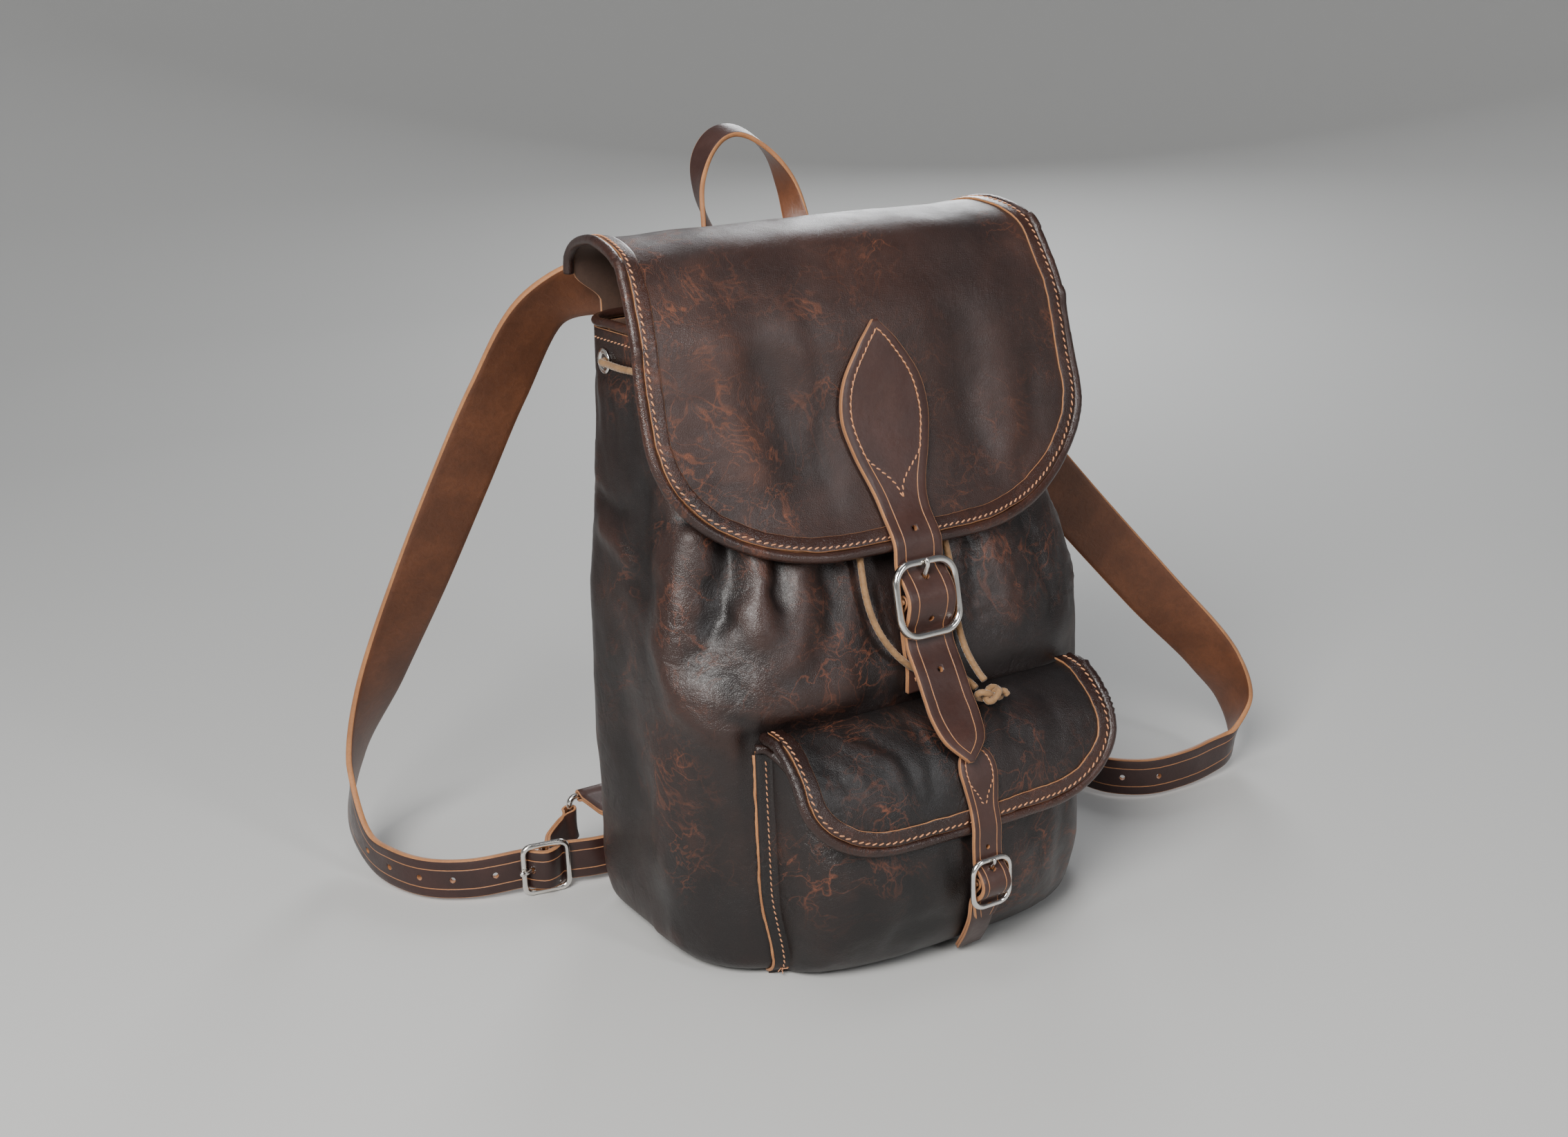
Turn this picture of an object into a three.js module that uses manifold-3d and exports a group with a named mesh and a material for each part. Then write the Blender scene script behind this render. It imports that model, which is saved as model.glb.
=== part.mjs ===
// Leather drawstring backpack: gathered bag, buckled flap, front pocket and two shoulder straps.
// Millimetres, +Z up, the front faces -Y, the origin is the middle of the base.
import * as THREE from 'three';
import { mergeVertices } from 'three/addons/utils/BufferGeometryUtils.js';
import Module from 'manifold-3d';

const wasm = await Module();
wasm.setup();

// ---- driving dimensions ----
const GAP = 0.35; // clearance between neighbouring pieces
const LEATHER = 2.2; // bag leather
const STRAP_LEATHER = 3.0; // flap strap leather
const SHOULDER_LEATHER = 3.8; // shoulder strap leather, two layers
const ROLL = 2.6; // radius of a rolled edge binding
const CORD = 4.0; // drawstring diameter

// The bag's shell at heights above the floor: [height, value].
const BAG_HALF_WIDTH = [[0, 126], [4, 133], [12, 138], [30, 141], [120, 142], [200, 141], [260, 134], [300, 129], [358, 127]];
const BAG_FRONT = [[0, -68], [4, -74], [12, -78], [40, -80], [150, -79.5], [165, -80.5], [185, -75.5],
  [210, -67], [243, -51], [280, -36], [310, -27], [340, -21], [358, -19]];
const BAG_BACK = [[0, 68], [4, 74], [12, 77], [40, 79], [200, 78], [300, 76], [358, 74]];
const FRONT_CORNER = [[0, 50], [30, 60], [200, 60], [300, 40], [358, 36]];
const BACK_CORNER = [[0, 24], [30, 28], [200, 28], [358, 22]];
const BAG_LEVELS = [0, 4, 12, 30, 75, 120, 150, 168, 188, 210, 243, 280, 310, 340, 355.5];
const MOUTH_HEIGHT = 358.8; // middle of the rolled mouth binding
const BACK_PANEL_HALF_WIDTH = 111;
const BASE_THICKNESS = 3;

// Eyelets and the drawstring's neck.
const NECK_HEIGHT = 338;
const EYELET = { bore: 4.0, barrel: 4.7, flange: 7.4, flangeThick: 0.8, hole: 5.1 };
const FRONT_EYELETS = [20, 78];
const SIDE_EYELET_Y = 45;

// Yoke and flap. The profile runs along the flap's middle from the hinge over the mouth to the front edge.
const YOKE = { halfWidth: 112, bottom: 318, top: 383.2 };
const YOKE_STAND = [[318, 0], [338, 0.2], [350, 1.9], [384, 1.9]]; // it stands off the bag past the rolled mouth

const FLAP_PROFILE = [[78.3, 384.2], [75.5, 393], [66, 401], [47, 406], [28, 406], [0, 398], [-20, 376], [-32, 355],
  [-40, 309], [-47, 284], [-56, 260], [-68.4, 239.5]];
const FLAP_HALF_WIDTH = [[0, 128], [40, 130], [110, 136], [170, 140], [290, 140]];
const FLAP_SIDE_SET = [[0, 0], [90, 2], [150, 9], [210, 4], [290, 15]];
const FLAP_CORNER = { start: 0.3, drop: 74 };

// Leaf strap: middle line in the YZ plane after it leaves the flap, and its widths.
const LEAF = { top: 356, widest: 58 };
const BILLET_WIDTH = 31.5;
const TAIL_PIVOT = [0, -84.4, 180.4];

// Front pocket and pocket flap.
const POCKET = { halfWidth: 100, bottom: 2.2, top: 117 };
const POCKET_DEPTH = [[2.2, 24], [12, 34], [30, 44], [60, 50], [85, 46], [105, 39], [117, 34.5]];
const POCKET_HINGE = [0, -82, 148.5];
const POCKET_FLAP_PROFILE = [[-82.2, 149], [-92, 148], [-105, 142], [-117, 131], [-125, 117], [-129, 103], [-130.5, 90]];
const POCKET_FLAP_HALF_WIDTH = 103;
const POCKET_FLAP_CORNER = { start: 0.5, drop: 36 };
const POCKET_STRAP = { width: 19, leafWidth: 24, thickness: 2.6 };

// Buckles: half sizes are to the middle of the wire; lift is how far the frame stands before its bar.
const MAIN_BUCKLE = { halfWidth: 19.8, halfHeight: 20.4, corner: 10, wire: 2.3, bar: 1.9, lift: 2.4, prong: 1.5 };
const POCKET_BUCKLE = { halfWidth: 12.3, halfHeight: 13.6, corner: 6, wire: 1.7, bar: 1.5, lift: 2.4, prong: 1.1 };
const STRAP_BUCKLE = { halfWidth: 15.2, halfHeight: 14, corner: 5, wire: 1.9, bar: 1.8, lift: 2.4, prong: 1.4 };
const RING = { halfWidth: 16, halfHeight: 17, corner: 4.5, wire: 2.0 };

const COLOURS = {
  body: 0x2e1a14, flap: 0x3a2219, strap: 0x3b241d, shoulder: 0x4b2a1c, binding: 0x33201a, metal: 0xc9c6bd,
  cord: 0x8a6a40, base: 0x241510,
};

// ---- small helpers ----
const V = (x, y, z) => new THREE.Vector3(x, y, z);
const fromArray = (list) => list.map(([x, y, z]) => V(x, y, z));
const X_AXIS = V(1, 0, 0);
const Z_AXIS = V(0, 0, 1);
const model = new THREE.Group();

// Smooth value at a position in a table of [position, value] rows.
function along(table, at) {
  const last = table.length - 1;
  if (at <= table[0][0]) return table[0][1];
  if (at >= table[last][0]) return table[last][1];
  const k = table.findIndex((row, i) => i < last && at <= table[i + 1][0]);
  const slope = (i) => {
    const a = table[Math.max(i - 1, 0)];
    const b = table[Math.min(i + 1, last)];
    return (b[1] - a[1]) / (b[0] - a[0]);
  };
  const span = table[k + 1][0] - table[k][0];
  const t = (at - table[k][0]) / span;
  const h = t * t * (3 - 2 * t);
  const rise = span * (slope(k) * t * (1 - t) ** 2 - slope(k + 1) * t * t * (1 - t));
  return table[k][1] * (1 - h) + table[k + 1][1] * h + rise;
}

// A closed surface from points and triangles, turned so that its faces point out.
function closedGeometry(points, faces) {
  let volume = 0;
  for (const [a, b, c] of faces) {
    volume += points[a].dot(points[b].clone().cross(points[c]));
  }
  const turned = volume < 0 ? faces.map(([a, b, c]) => [a, c, b]) : faces;
  const geometry = new THREE.BufferGeometry();
  geometry.setAttribute('position', new THREE.Float32BufferAttribute(points.flatMap((p) => p.toArray()), 3));
  geometry.setIndex(turned.flat());
  return geometry;
}

// A solid through rings of equally many points; an open one gets a fan at each end.
function loft(rings, closed = false) {
  const count = rings[0].length;
  const points = rings.flat();
  const faces = [];
  const joins = closed ? rings.length : rings.length - 1;
  for (let i = 0; i < joins; i += 1) {
    const a = i * count;
    const b = ((i + 1) % rings.length) * count;
    for (let j = 0; j < count; j += 1) {
      const k = (j + 1) % count;
      faces.push([a + j, a + k, b + k], [a + j, b + k, b + j]);
    }
  }
  if (!closed) {
    const end = (rings.length - 1) * count;
    for (let j = 1; j < count - 1; j += 1) {
      faces.push([0, j + 1, j], [end, end + j, end + j + 1]);
    }
  }
  return closedGeometry(points, faces);
}

// A sheet of even thickness under the surface place(u, v), with its normal out of cross(dv, du).
function sheet(place, us, vs, thickness) {
  const outer = [];
  const inner = [];
  for (const u of us) {
    for (const v of vs) {
      const p = place(u, v);
      outer.push(p);
      inner.push(p.clone().addScaledVector(surfaceNormal(place, u, v), -thickness));
    }
  }
  const rows = us.length;
  const cols = vs.length;
  const points = outer.concat(inner);
  const faces = [];
  const quad = (a, b, c, d) => faces.push([a, b, c], [a, c, d]);
  const below = rows * cols;
  for (let i = 0; i < rows - 1; i += 1) {
    for (let j = 0; j < cols - 1; j += 1) {
      const a = i * cols + j;
      quad(a, a + 1, a + cols + 1, a + cols);
      quad(below + a, below + a + cols, below + a + cols + 1, below + a + 1);
    }
  }
  const rim = [];
  for (let j = 0; j < cols - 1; j += 1) rim.push(j);
  for (let i = 0; i < rows - 1; i += 1) rim.push(i * cols + cols - 1);
  for (let j = cols - 1; j > 0; j -= 1) rim.push((rows - 1) * cols + j);
  for (let i = rows - 1; i > 0; i -= 1) rim.push(i * cols);
  rim.forEach((a, k) => {
    const b = rim[(k + 1) % rim.length];
    quad(b, a, below + a, below + b);
  });
  return closedGeometry(points, faces);
}

function surfaceNormal(place, u, v) {
  const step = 1e-3;
  const du = place(u + step, v).sub(place(u - step, v));
  const dv = place(u, v + step).sub(place(u, v - step));
  return dv.cross(du).normalize();
}

function smooth(points, steps, closed = false) {
  return new THREE.CatmullRomCurve3(points, closed, 'centripetal').getSpacedPoints(steps);
}

function tangentAt(points, i, closed = false) {
  const n = points.length;
  const before = closed ? points[(i - 1 + n) % n] : points[Math.max(i - 1, 0)];
  const after = closed ? points[(i + 1) % n] : points[Math.min(i + 1, n - 1)];
  return after.clone().sub(before).normalize();
}

// A round bar along points; `up` is one direction or one for each point.
function roundBar(points, radius, up, sides = 8, closed = false) {
  const rings = points.map((p, i) => {
    const along3 = tangentAt(points, i, closed);
    const lean = Array.isArray(up) ? up[i] : up;
    const side = along3.clone().cross(lean).normalize();
    const top = side.clone().cross(along3);
    return ringAround(p, side, top, radius, sides);
  });
  return loft(rings, closed);
}

function ringAround(centre, a, b, radius, sides) {
  return Array.from({ length: sides }, (_, k) => {
    const turn = (2 * Math.PI * (k + 0.5)) / sides;
    return centre.clone().addScaledVector(a, radius * Math.cos(turn)).addScaledVector(b, radius * Math.sin(turn));
  });
}

// A flat strap: stations are { at, width, face, thick }, with face the direction its outer side looks.
// Sections are at most a pitch apart, with two or more between stations.
function strap(stations, pitch) {
  const curve = new THREE.CatmullRomCurve3(stations.map((s) => s.at), false, 'centripetal');
  const last = stations.length - 1;
  const marks = [];
  for (let k = 0; k < last; k += 1) {
    const parts = Math.max(2, Math.ceil(stations[k].at.distanceTo(stations[k + 1].at) / pitch));
    for (let j = 0; j < parts; j += 1) marks.push(k + j / parts);
  }
  marks.push(last);
  const read = (key, mark) => along(stations.map((s, k) => [k, key(s)]), mark);
  const rings = marks.map((mark) => {
    const p = curve.getPoint(mark / last);
    const tangent = curve.getTangent(mark / last);
    const face = V(read((s) => s.face.x, mark), read((s) => s.face.y, mark), read((s) => s.face.z, mark));
    face.addScaledVector(tangent, -face.dot(tangent)).normalize();
    const across = tangent.clone().cross(face);
    const w = read((s) => s.width, mark) / 2;
    const h = read((s) => s.thick, mark) / 2;
    const corner = (i, j) => p.clone().addScaledVector(across, i * w).addScaledVector(face, j * h);
    return [corner(1, 1), corner(-1, 1), corner(-1, -1), corner(1, -1)];
  });
  return loft(rings);
}

// ---- joining and cutting ----
function toSolid(geometry) {
  const bare = geometry.clone();
  bare.deleteAttribute('normal');
  bare.deleteAttribute('uv');
  const merged = mergeVertices(bare, 1e-4);
  return new wasm.Manifold(new wasm.Mesh({
    numProp: 3,
    vertProperties: new Float32Array(merged.attributes.position.array),
    triVerts: new Uint32Array(merged.index.array),
  }));
}

function toGeometry(solid) {
  const { vertProperties, triVerts } = solid.getMesh();
  const geometry = new THREE.BufferGeometry();
  geometry.setAttribute('position', new THREE.BufferAttribute(new Float32Array(vertProperties), 3));
  geometry.setIndex(new THREE.BufferAttribute(new Uint32Array(triVerts), 1));
  return geometry;
}

function pin(at, direction, radius, length, sides = 12) {
  const geometry = new THREE.CylinderGeometry(radius, radius, length, sides);
  geometry.applyQuaternion(new THREE.Quaternion().setFromUnitVectors(V(0, 1, 0), direction.clone().normalize()));
  return toSolid(geometry.translate(at.x, at.y, at.z));
}

function block(low, high) {
  const geometry = new THREE.BoxGeometry(high[0] - low[0], high[1] - low[1], high[2] - low[2]);
  geometry.translate((high[0] + low[0]) / 2, (high[1] + low[1]) / 2, (high[2] + low[2]) / 2);
  return toSolid(geometry);
}

function add(name, shape, look) {
  const metal = look === 'metal';
  const geometry = shape.isBufferGeometry ? shape : toGeometry(shape);
  const material = new THREE.MeshStandardMaterial({
    color: COLOURS[look],
    roughness: metal ? 0.2 : 0.55,
    metalness: metal ? 1 : 0,
  });
  const mesh = new THREE.Mesh(geometry, material);
  mesh.name = name;
  model.add(mesh);
}

// ---- the bag's shell ----
function straight(points, from, to, steps) {
  for (let k = 0; k < steps; k += 1) {
    points.push([from[0] + ((to[0] - from[0]) * k) / steps, from[1] + ((to[1] - from[1]) * k) / steps]);
  }
}

function arc(points, x, y, radius, fromDegrees, steps) {
  for (let k = 0; k < steps; k += 1) {
    const turn = ((fromDegrees + (90 * k) / steps) * Math.PI) / 180;
    points.push([x + radius * Math.cos(turn), y + radius * Math.sin(turn)]);
  }
}

function bagOutline(z, inset) {
  const w = along(BAG_HALF_WIDTH, z) - inset;
  const front = along(BAG_FRONT, z) + inset;
  const back = along(BAG_BACK, z) - inset;
  const fore = along(FRONT_CORNER, z) - inset;
  const aft = along(BACK_CORNER, z) - inset;
  const points = [];
  straight(points, [fore - w, front], [w - fore, front], 4);
  arc(points, w - fore, front + fore, fore, -90, 6);
  straight(points, [w, front + fore], [w, back - aft], 2);
  arc(points, w - aft, back - aft, aft, 0, 4);
  straight(points, [w - aft, back], [aft - w, back], 4);
  arc(points, aft - w, back - aft, aft, 90, 4);
  straight(points, [-w, back - aft], [-w, front + fore], 2);
  arc(points, fore - w, front + fore, fore, 180, 6);
  return points.map(([x, y]) => V(x, y, z));
}

// The front surface's Y at a place across and up the bag.
function frontAt(x, z) {
  const fore = along(FRONT_CORNER, z);
  const run = Math.max(0, Math.abs(x) - (along(BAG_HALF_WIDTH, z) - fore));
  return along(BAG_FRONT, z) + fore - Math.sqrt(fore * fore - run * run);
}

const lifted = (ring, z) => ring.map((p) => V(p.x, p.y, z));

function bagWall() {
  const top = BAG_LEVELS[BAG_LEVELS.length - 1];
  const outer = BAG_LEVELS.map((z) => bagOutline(z, 0));
  const inner = BAG_LEVELS.map((z) => bagOutline(z, LEATHER));
  inner.unshift(lifted(inner[0], -2));
  inner.push(lifted(inner[inner.length - 1], top + 2));
  return toSolid(loft(outer)).subtract(toSolid(loft(inner)));
}

// Eyelets: where each sits on the neck and which way it faces.
function eyelets() {
  const w = along(BAG_HALF_WIDTH, NECK_HEIGHT);
  const front = along(BAG_FRONT, NECK_HEIGHT);
  const rise = along(BAG_FRONT, NECK_HEIGHT + 5) - along(BAG_FRONT, NECK_HEIGHT - 5);
  const forward = V(0, -10, rise).normalize();
  const list = [];
  for (const side of [-1, 1]) {
    for (const x of FRONT_EYELETS) list.push({ at: V(side * x, front, NECK_HEIGHT), facing: forward });
    list.push({ at: V(side * w, SIDE_EYELET_Y, NECK_HEIGHT), facing: V(side, 0, 0) });
  }
  return list;
}

function eyeletShape({ at, facing }) {
  const back = LEATHER + GAP;
  const { bore, barrel, flange, flangeThick } = EYELET;
  const profile = [[bore, -back], [barrel, -back], [barrel, GAP], [flange, GAP],
    [flange, GAP + flangeThick], [bore, GAP + flangeThick], [bore, -back]];
  const geometry = new THREE.LatheGeometry(profile.map(([r, h]) => new THREE.Vector2(r, h)), 10);
  geometry.applyQuaternion(new THREE.Quaternion().setFromUnitVectors(V(0, 1, 0), facing));
  return toSolid(geometry.translate(at.x, at.y, at.z));
}

function makeBag() {
  let wall = bagWall();
  const places = eyelets();
  for (const place of places) wall = wall.subtract(pin(place.at, place.facing, EYELET.hole, 16, 12));
  const half = BACK_PANEL_HALF_WIDTH;
  add('body_panel', wall.subtract(block([-half - GAP, 58, -5], [half + GAP, 100, 400])), 'body');
  add('back_panel', wall.intersect(block([-half, 58, -5], [half, 100, 400])), 'body');
  const base = bagOutline(0, LEATHER + GAP);
  add('base_panel', loft([base, lifted(base, BASE_THICKNESS)]), 'base');
  const rim = bagOutline(356, LEATHER / 2);
  add('mouth_binding', roundBar(lifted(rim, MOUTH_HEIGHT), ROLL, Z_AXIS, 6, true), 'binding');
  places.forEach((place, k) => add(`eyelet_${k + 1}`, eyeletShape(place), 'metal'));
}

// The drawstring's held part: a point beside the neck, `out` from its outer surface.
function neckPoint(side, where, out) {
  const w = along(BAG_HALF_WIDTH, NECK_HEIGHT);
  const front = along(BAG_FRONT, NECK_HEIGHT);
  const back = along(BAG_BACK, NECK_HEIGHT);
  const fore = along(FRONT_CORNER, NECK_HEIGHT);
  const aft = along(BACK_CORNER, NECK_HEIGHT);
  const z = NECK_HEIGHT;
  if ('front' in where) return V(side * where.front, front - out, z);
  if ('side' in where) return V(side * (w + out), where.side, z);
  if ('back' in where) return V(side * where.back, back + out, z);
  const turn = (where.foreCorner ?? where.aftCorner) * (Math.PI / 180);
  const radius = (where.foreCorner === undefined ? aft : fore) + out;
  const x = w - (where.foreCorner === undefined ? aft : fore) + radius * Math.sin(turn);
  const y = where.foreCorner === undefined
    ? back - aft + radius * Math.cos(turn)
    : front + fore - radius * Math.cos(turn);
  return V(side * x, y, z);
}

function neckCord() {
  const outside = 3.7;
  const inside = -6.2;
  const reach = 2.6; // half of the run in which the cord passes through an eyelet
  const [near, far] = FRONT_EYELETS;
  const half = [
    [{ front: near }, outside - 1.2], [{ front: near + 0.6 }, 0], [{ front: near + reach }, inside + 1],
    [{ front: near + 12 }, inside - 0.5], [{ front: far - 12 }, inside - 0.5],
    [{ front: far - reach }, inside + 0.6], [{ front: far + reach }, outside - 0.4],
    [{ front: far + 12 }, outside], [{ foreCorner: 30 }, outside], [{ foreCorner: 60 }, outside],
    [{ foreCorner: 88 }, outside], [{ side: SIDE_EYELET_Y - 12 }, outside],
    [{ side: SIDE_EYELET_Y - reach }, outside - 0.4], [{ side: SIDE_EYELET_Y + reach }, inside + 0.6],
    [{ aftCorner: 60 }, inside - 2], [{ aftCorner: 20 }, inside - 2], [{ back: 60 }, inside - 1],
  ];
  const left = half.map(([where, out]) => neckPoint(-1, where, out));
  const right = half.map(([where, out]) => neckPoint(1, where, out)).reverse();
  return [...left, neckPoint(1, { back: 0 }, inside - 1), ...right];
}

function cordShape(points, steps) {
  const section = new THREE.Shape();
  section.absarc(0, 0, CORD / 2, 0, 2 * Math.PI, false);
  const path = new THREE.CatmullRomCurve3(points, false, 'centripetal');
  return new THREE.ExtrudeGeometry(section, { steps, curveSegments: 4, extrudePath: path, bevelEnabled: false });
}

// ---- flap ----
const flapCurve = new THREE.CatmullRomCurve3(FLAP_PROFILE.map(([y, z]) => V(0, y, z)), false, 'centripetal');
const FLAP_LENGTH = flapCurve.getLength();

// Length of a flap with rounded front corners, at u across it.
function roundedLength(length, corner, u) {
  const t = Math.min(1, Math.max(0, (Math.abs(u) - corner.start) / (1 - corner.start)));
  return length - corner.drop * (1 - Math.sqrt(1 - t * t));
}

// Past its ends a profile goes on straight, so that normals at the edges stay true.
function onProfile(curve, length, s) {
  if (s < 0) return curve.getPointAt(0).addScaledVector(curve.getTangentAt(0), s);
  if (s > length) return curve.getPointAt(1).addScaledVector(curve.getTangentAt(1), s - length);
  return curve.getPointAt(s / length);
}

function flapPoint(u, v) {
  const s = v * roundedLength(FLAP_LENGTH, FLAP_CORNER, u);
  const p = onProfile(flapCurve, FLAP_LENGTH, s);
  p.x = u * along(FLAP_HALF_WIDTH, s);
  p.y += along(FLAP_SIDE_SET, s) * u * u;
  return p;
}

const pocketFlapCurve = new THREE.CatmullRomCurve3(
  POCKET_FLAP_PROFILE.map(([y, z]) => V(0, y, z)), false, 'centripetal');
const POCKET_FLAP_LENGTH = pocketFlapCurve.getLength();

function pocketFlapPoint(u, v) {
  const s = v * roundedLength(POCKET_FLAP_LENGTH, POCKET_FLAP_CORNER, u);
  const p = onProfile(pocketFlapCurve, POCKET_FLAP_LENGTH, s);
  const back = POCKET_FLAP_PROFILE[0][0];
  p.x = u * POCKET_FLAP_HALF_WIDTH;
  p.y = back + (p.y - back) * (1 - 0.14 * u * u);
  const clear = frontAt(p.x, p.z) - frontAt(0, p.z);
  p.y += clear * Math.max(0, 1 - v * 4);
  return p;
}

// Places across a flap, closer together towards its rounded corners.
const spread = (half) => Array.from({ length: 2 * half + 1 }, (_, k) => Math.sin((Math.PI / 2) * (k / half - 1)));
const even = (steps) => Array.from({ length: steps + 1 }, (_, k) => k / steps);

// The roll sewn round a flap's free edge.
function flapRoll(place, thickness, sideSteps, frontSteps) {
  const marks = [];
  for (let k = 0; k < sideSteps; k += 1) marks.push([-1, k / sideSteps]);
  for (let k = 0; k <= frontSteps; k += 1) marks.push([Math.sin((Math.PI / 2) * ((2 * k) / frontSteps - 1)), 1]);
  for (let k = sideSteps - 1; k >= 0; k -= 1) marks.push([1, k / sideSteps]);
  const normals = marks.map(([u, v]) => surfaceNormal(place, u * 0.999, v));
  const edge = marks.map(([u, v], i) => place(u, v).addScaledVector(normals[i], -thickness / 2));
  const centres = edge.map((p, i) => {
    const out = tangentAt(edge, i).cross(normals[i]).normalize();
    return p.clone().addScaledVector(out, ROLL + 1.5 * GAP);
  });
  return roundBar(centres, ROLL, normals, 6);
}

function makeFlap() {
  const backAt = (u, v) => {
    const z = YOKE.bottom + (YOKE.top - YOKE.bottom) * v;
    return V(u * YOKE.halfWidth, along(BAG_BACK, z) + along(YOKE_STAND, z) + GAP + LEATHER, z);
  };
  add('shoulder_yoke', sheet(backAt, even(2).map((t) => 2 * t - 1), [0, 0.3, 0.5, 1], LEATHER), 'flap');
  add('flap_panel', sheet(flapPoint, spread(6), even(14), LEATHER), 'flap');
  add('flap_binding', flapRoll(flapPoint, LEATHER, 18, 20), 'binding');
}

// ---- buckles ----
// A place is { bar, right, up, out }: the bar's middle, along the bar, towards the incoming strap, and outwards.
const onPlace = (place, right, up, out) => place.bar.clone()
  .addScaledVector(place.right, right)
  .addScaledVector(place.up, up)
  .addScaledVector(place.out, out);

function roundedLoop(place, halfWidth, halfHeight, corner, out) {
  const flat = [];
  const w = halfWidth - corner;
  const h = halfHeight - corner;
  [[w, -h, -90], [w, h, 0], [-w, h, 90], [-w, -h, 180]].forEach(([x, y, from]) => {
    for (let k = 0; k <= 4; k += 1) {
      const turn = ((from + 22.5 * k) * Math.PI) / 180;
      flat.push([x + corner * Math.cos(turn), y + corner * Math.sin(turn)]);
    }
  });
  return flat.map(([x, y]) => onPlace(place, x, y, out));
}

function buckleFrame(place, size) {
  const loop = roundedLoop(place, size.halfWidth, size.halfHeight, size.corner, size.lift);
  const frame = toSolid(roundBar(loop, size.wire, place.out, 8, true));
  const reach = size.halfWidth;
  const bar = [[-reach, size.lift], [2.2 - reach, 0.4], [4.5 - reach, 0], [reach - 4.5, 0], [reach - 2.2, 0.4],
    [reach, size.lift]];
  const line = bar.map(([x, out]) => onPlace(place, x, 0, out));
  return frame.add(toSolid(roundBar(line, size.bar, place.up, 8)));
}

// The prong: a hub round the bar and a bent shank that passes through the strap's hole and over the frame.
function buckleProng(place, size, strapOut) {
  const hub = new THREE.LatheGeometry([[size.bar + 0.3, -1.6], [size.bar + 1.4, -1.6], [size.bar + 1.4, 1.6],
    [size.bar + 0.3, 1.6], [size.bar + 0.3, -1.6]].map(([r, h]) => new THREE.Vector2(r, h)), 14);
  hub.applyQuaternion(new THREE.Quaternion().setFromUnitVectors(V(0, 1, 0), place.right));
  hub.translate(place.bar.x, place.bar.y, place.bar.z);
  const over = size.lift + size.wire + size.prong + 0.3;
  const top = size.halfHeight;
  const shank = [[size.bar + 0.9, -0.2], [top * 0.36, -0.7], [top * 0.5, 0.4], [top * 0.63, strapOut * 0.36],
    [top * 0.78, over * 0.7], [top * 0.93, over * 0.98], [top + size.wire, over]];
  const line = smooth(shank.map(([up, out]) => onPlace(place, 0, up, out)), 12);
  return toSolid(hub).add(toSolid(roundBar(line, size.prong, place.right, 6)));
}

// Where a strap of this thickness runs through a buckle: before it, over its bar and after it.
function threaded(place, size, thickness, crown) {
  const behind = size.lift - size.wire - 0.6 - thickness / 2;
  return [
    onPlace(place, 0, size.halfHeight, behind),
    onPlace(place, 0, size.halfHeight * 0.78, behind + 0.5),
    onPlace(place, 0, size.halfHeight * 0.42, (behind + crown) * 0.78),
    onPlace(place, 0, 0, crown),
    onPlace(place, 0, -size.halfHeight * 0.42, (behind + crown) * 0.78),
    onPlace(place, 0, -size.halfHeight * 0.78, behind + 0.5),
    onPlace(place, 0, -size.halfHeight, behind),
  ];
}

// A folded strip of leather round one or two bars: eyes are { at, axis, bore }, with a slot for the prong.
function chape(stations, pitch, eyes, wall, slot) {
  let solid = toSolid(strap(stations, pitch));
  for (const eye of eyes) solid = solid.add(pin(eye.at, eye.axis, eye.bore + wall, eye.length, 14));
  for (const eye of eyes) solid = solid.subtract(pin(eye.at, eye.axis, eye.bore, eye.length + 30, 14));
  return slot ? solid.subtract(slot) : solid;
}

// ---- main buckle and the leaf strap ----
const LEAN = (11.7 * Math.PI) / 180;
const mainPlace = {
  bar: V(0, -80.3, 207),
  right: V(1, 0, 0),
  up: V(0, Math.sin(LEAN), Math.cos(LEAN)),
  out: V(0, -Math.cos(LEAN), Math.sin(LEAN)),
};
const MAIN_CROWN = 6.5;

function flapStations() {
  const stations = [];
  const heights = [[LEAF.top, 3], [345, 24], [325, 50], [305, LEAF.widest], [285, 50], [265, 36], [252, BILLET_WIDTH]];
  for (const [z, width] of heights) {
    let s = 0;
    while (s < FLAP_LENGTH && (flapCurve.getPointAt(s / FLAP_LENGTH).z > z || s < 110)) s += 0.5;
    const t = Math.min(1, s / FLAP_LENGTH);
    const tangent = flapCurve.getTangentAt(t);
    const face = tangent.clone().cross(X_AXIS).normalize();
    const at = flapCurve.getPointAt(t).addScaledVector(face, 2 * GAP + STRAP_LEATHER / 2);
    stations.push({ at, width, face, thick: STRAP_LEATHER });
  }
  return stations;
}

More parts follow.
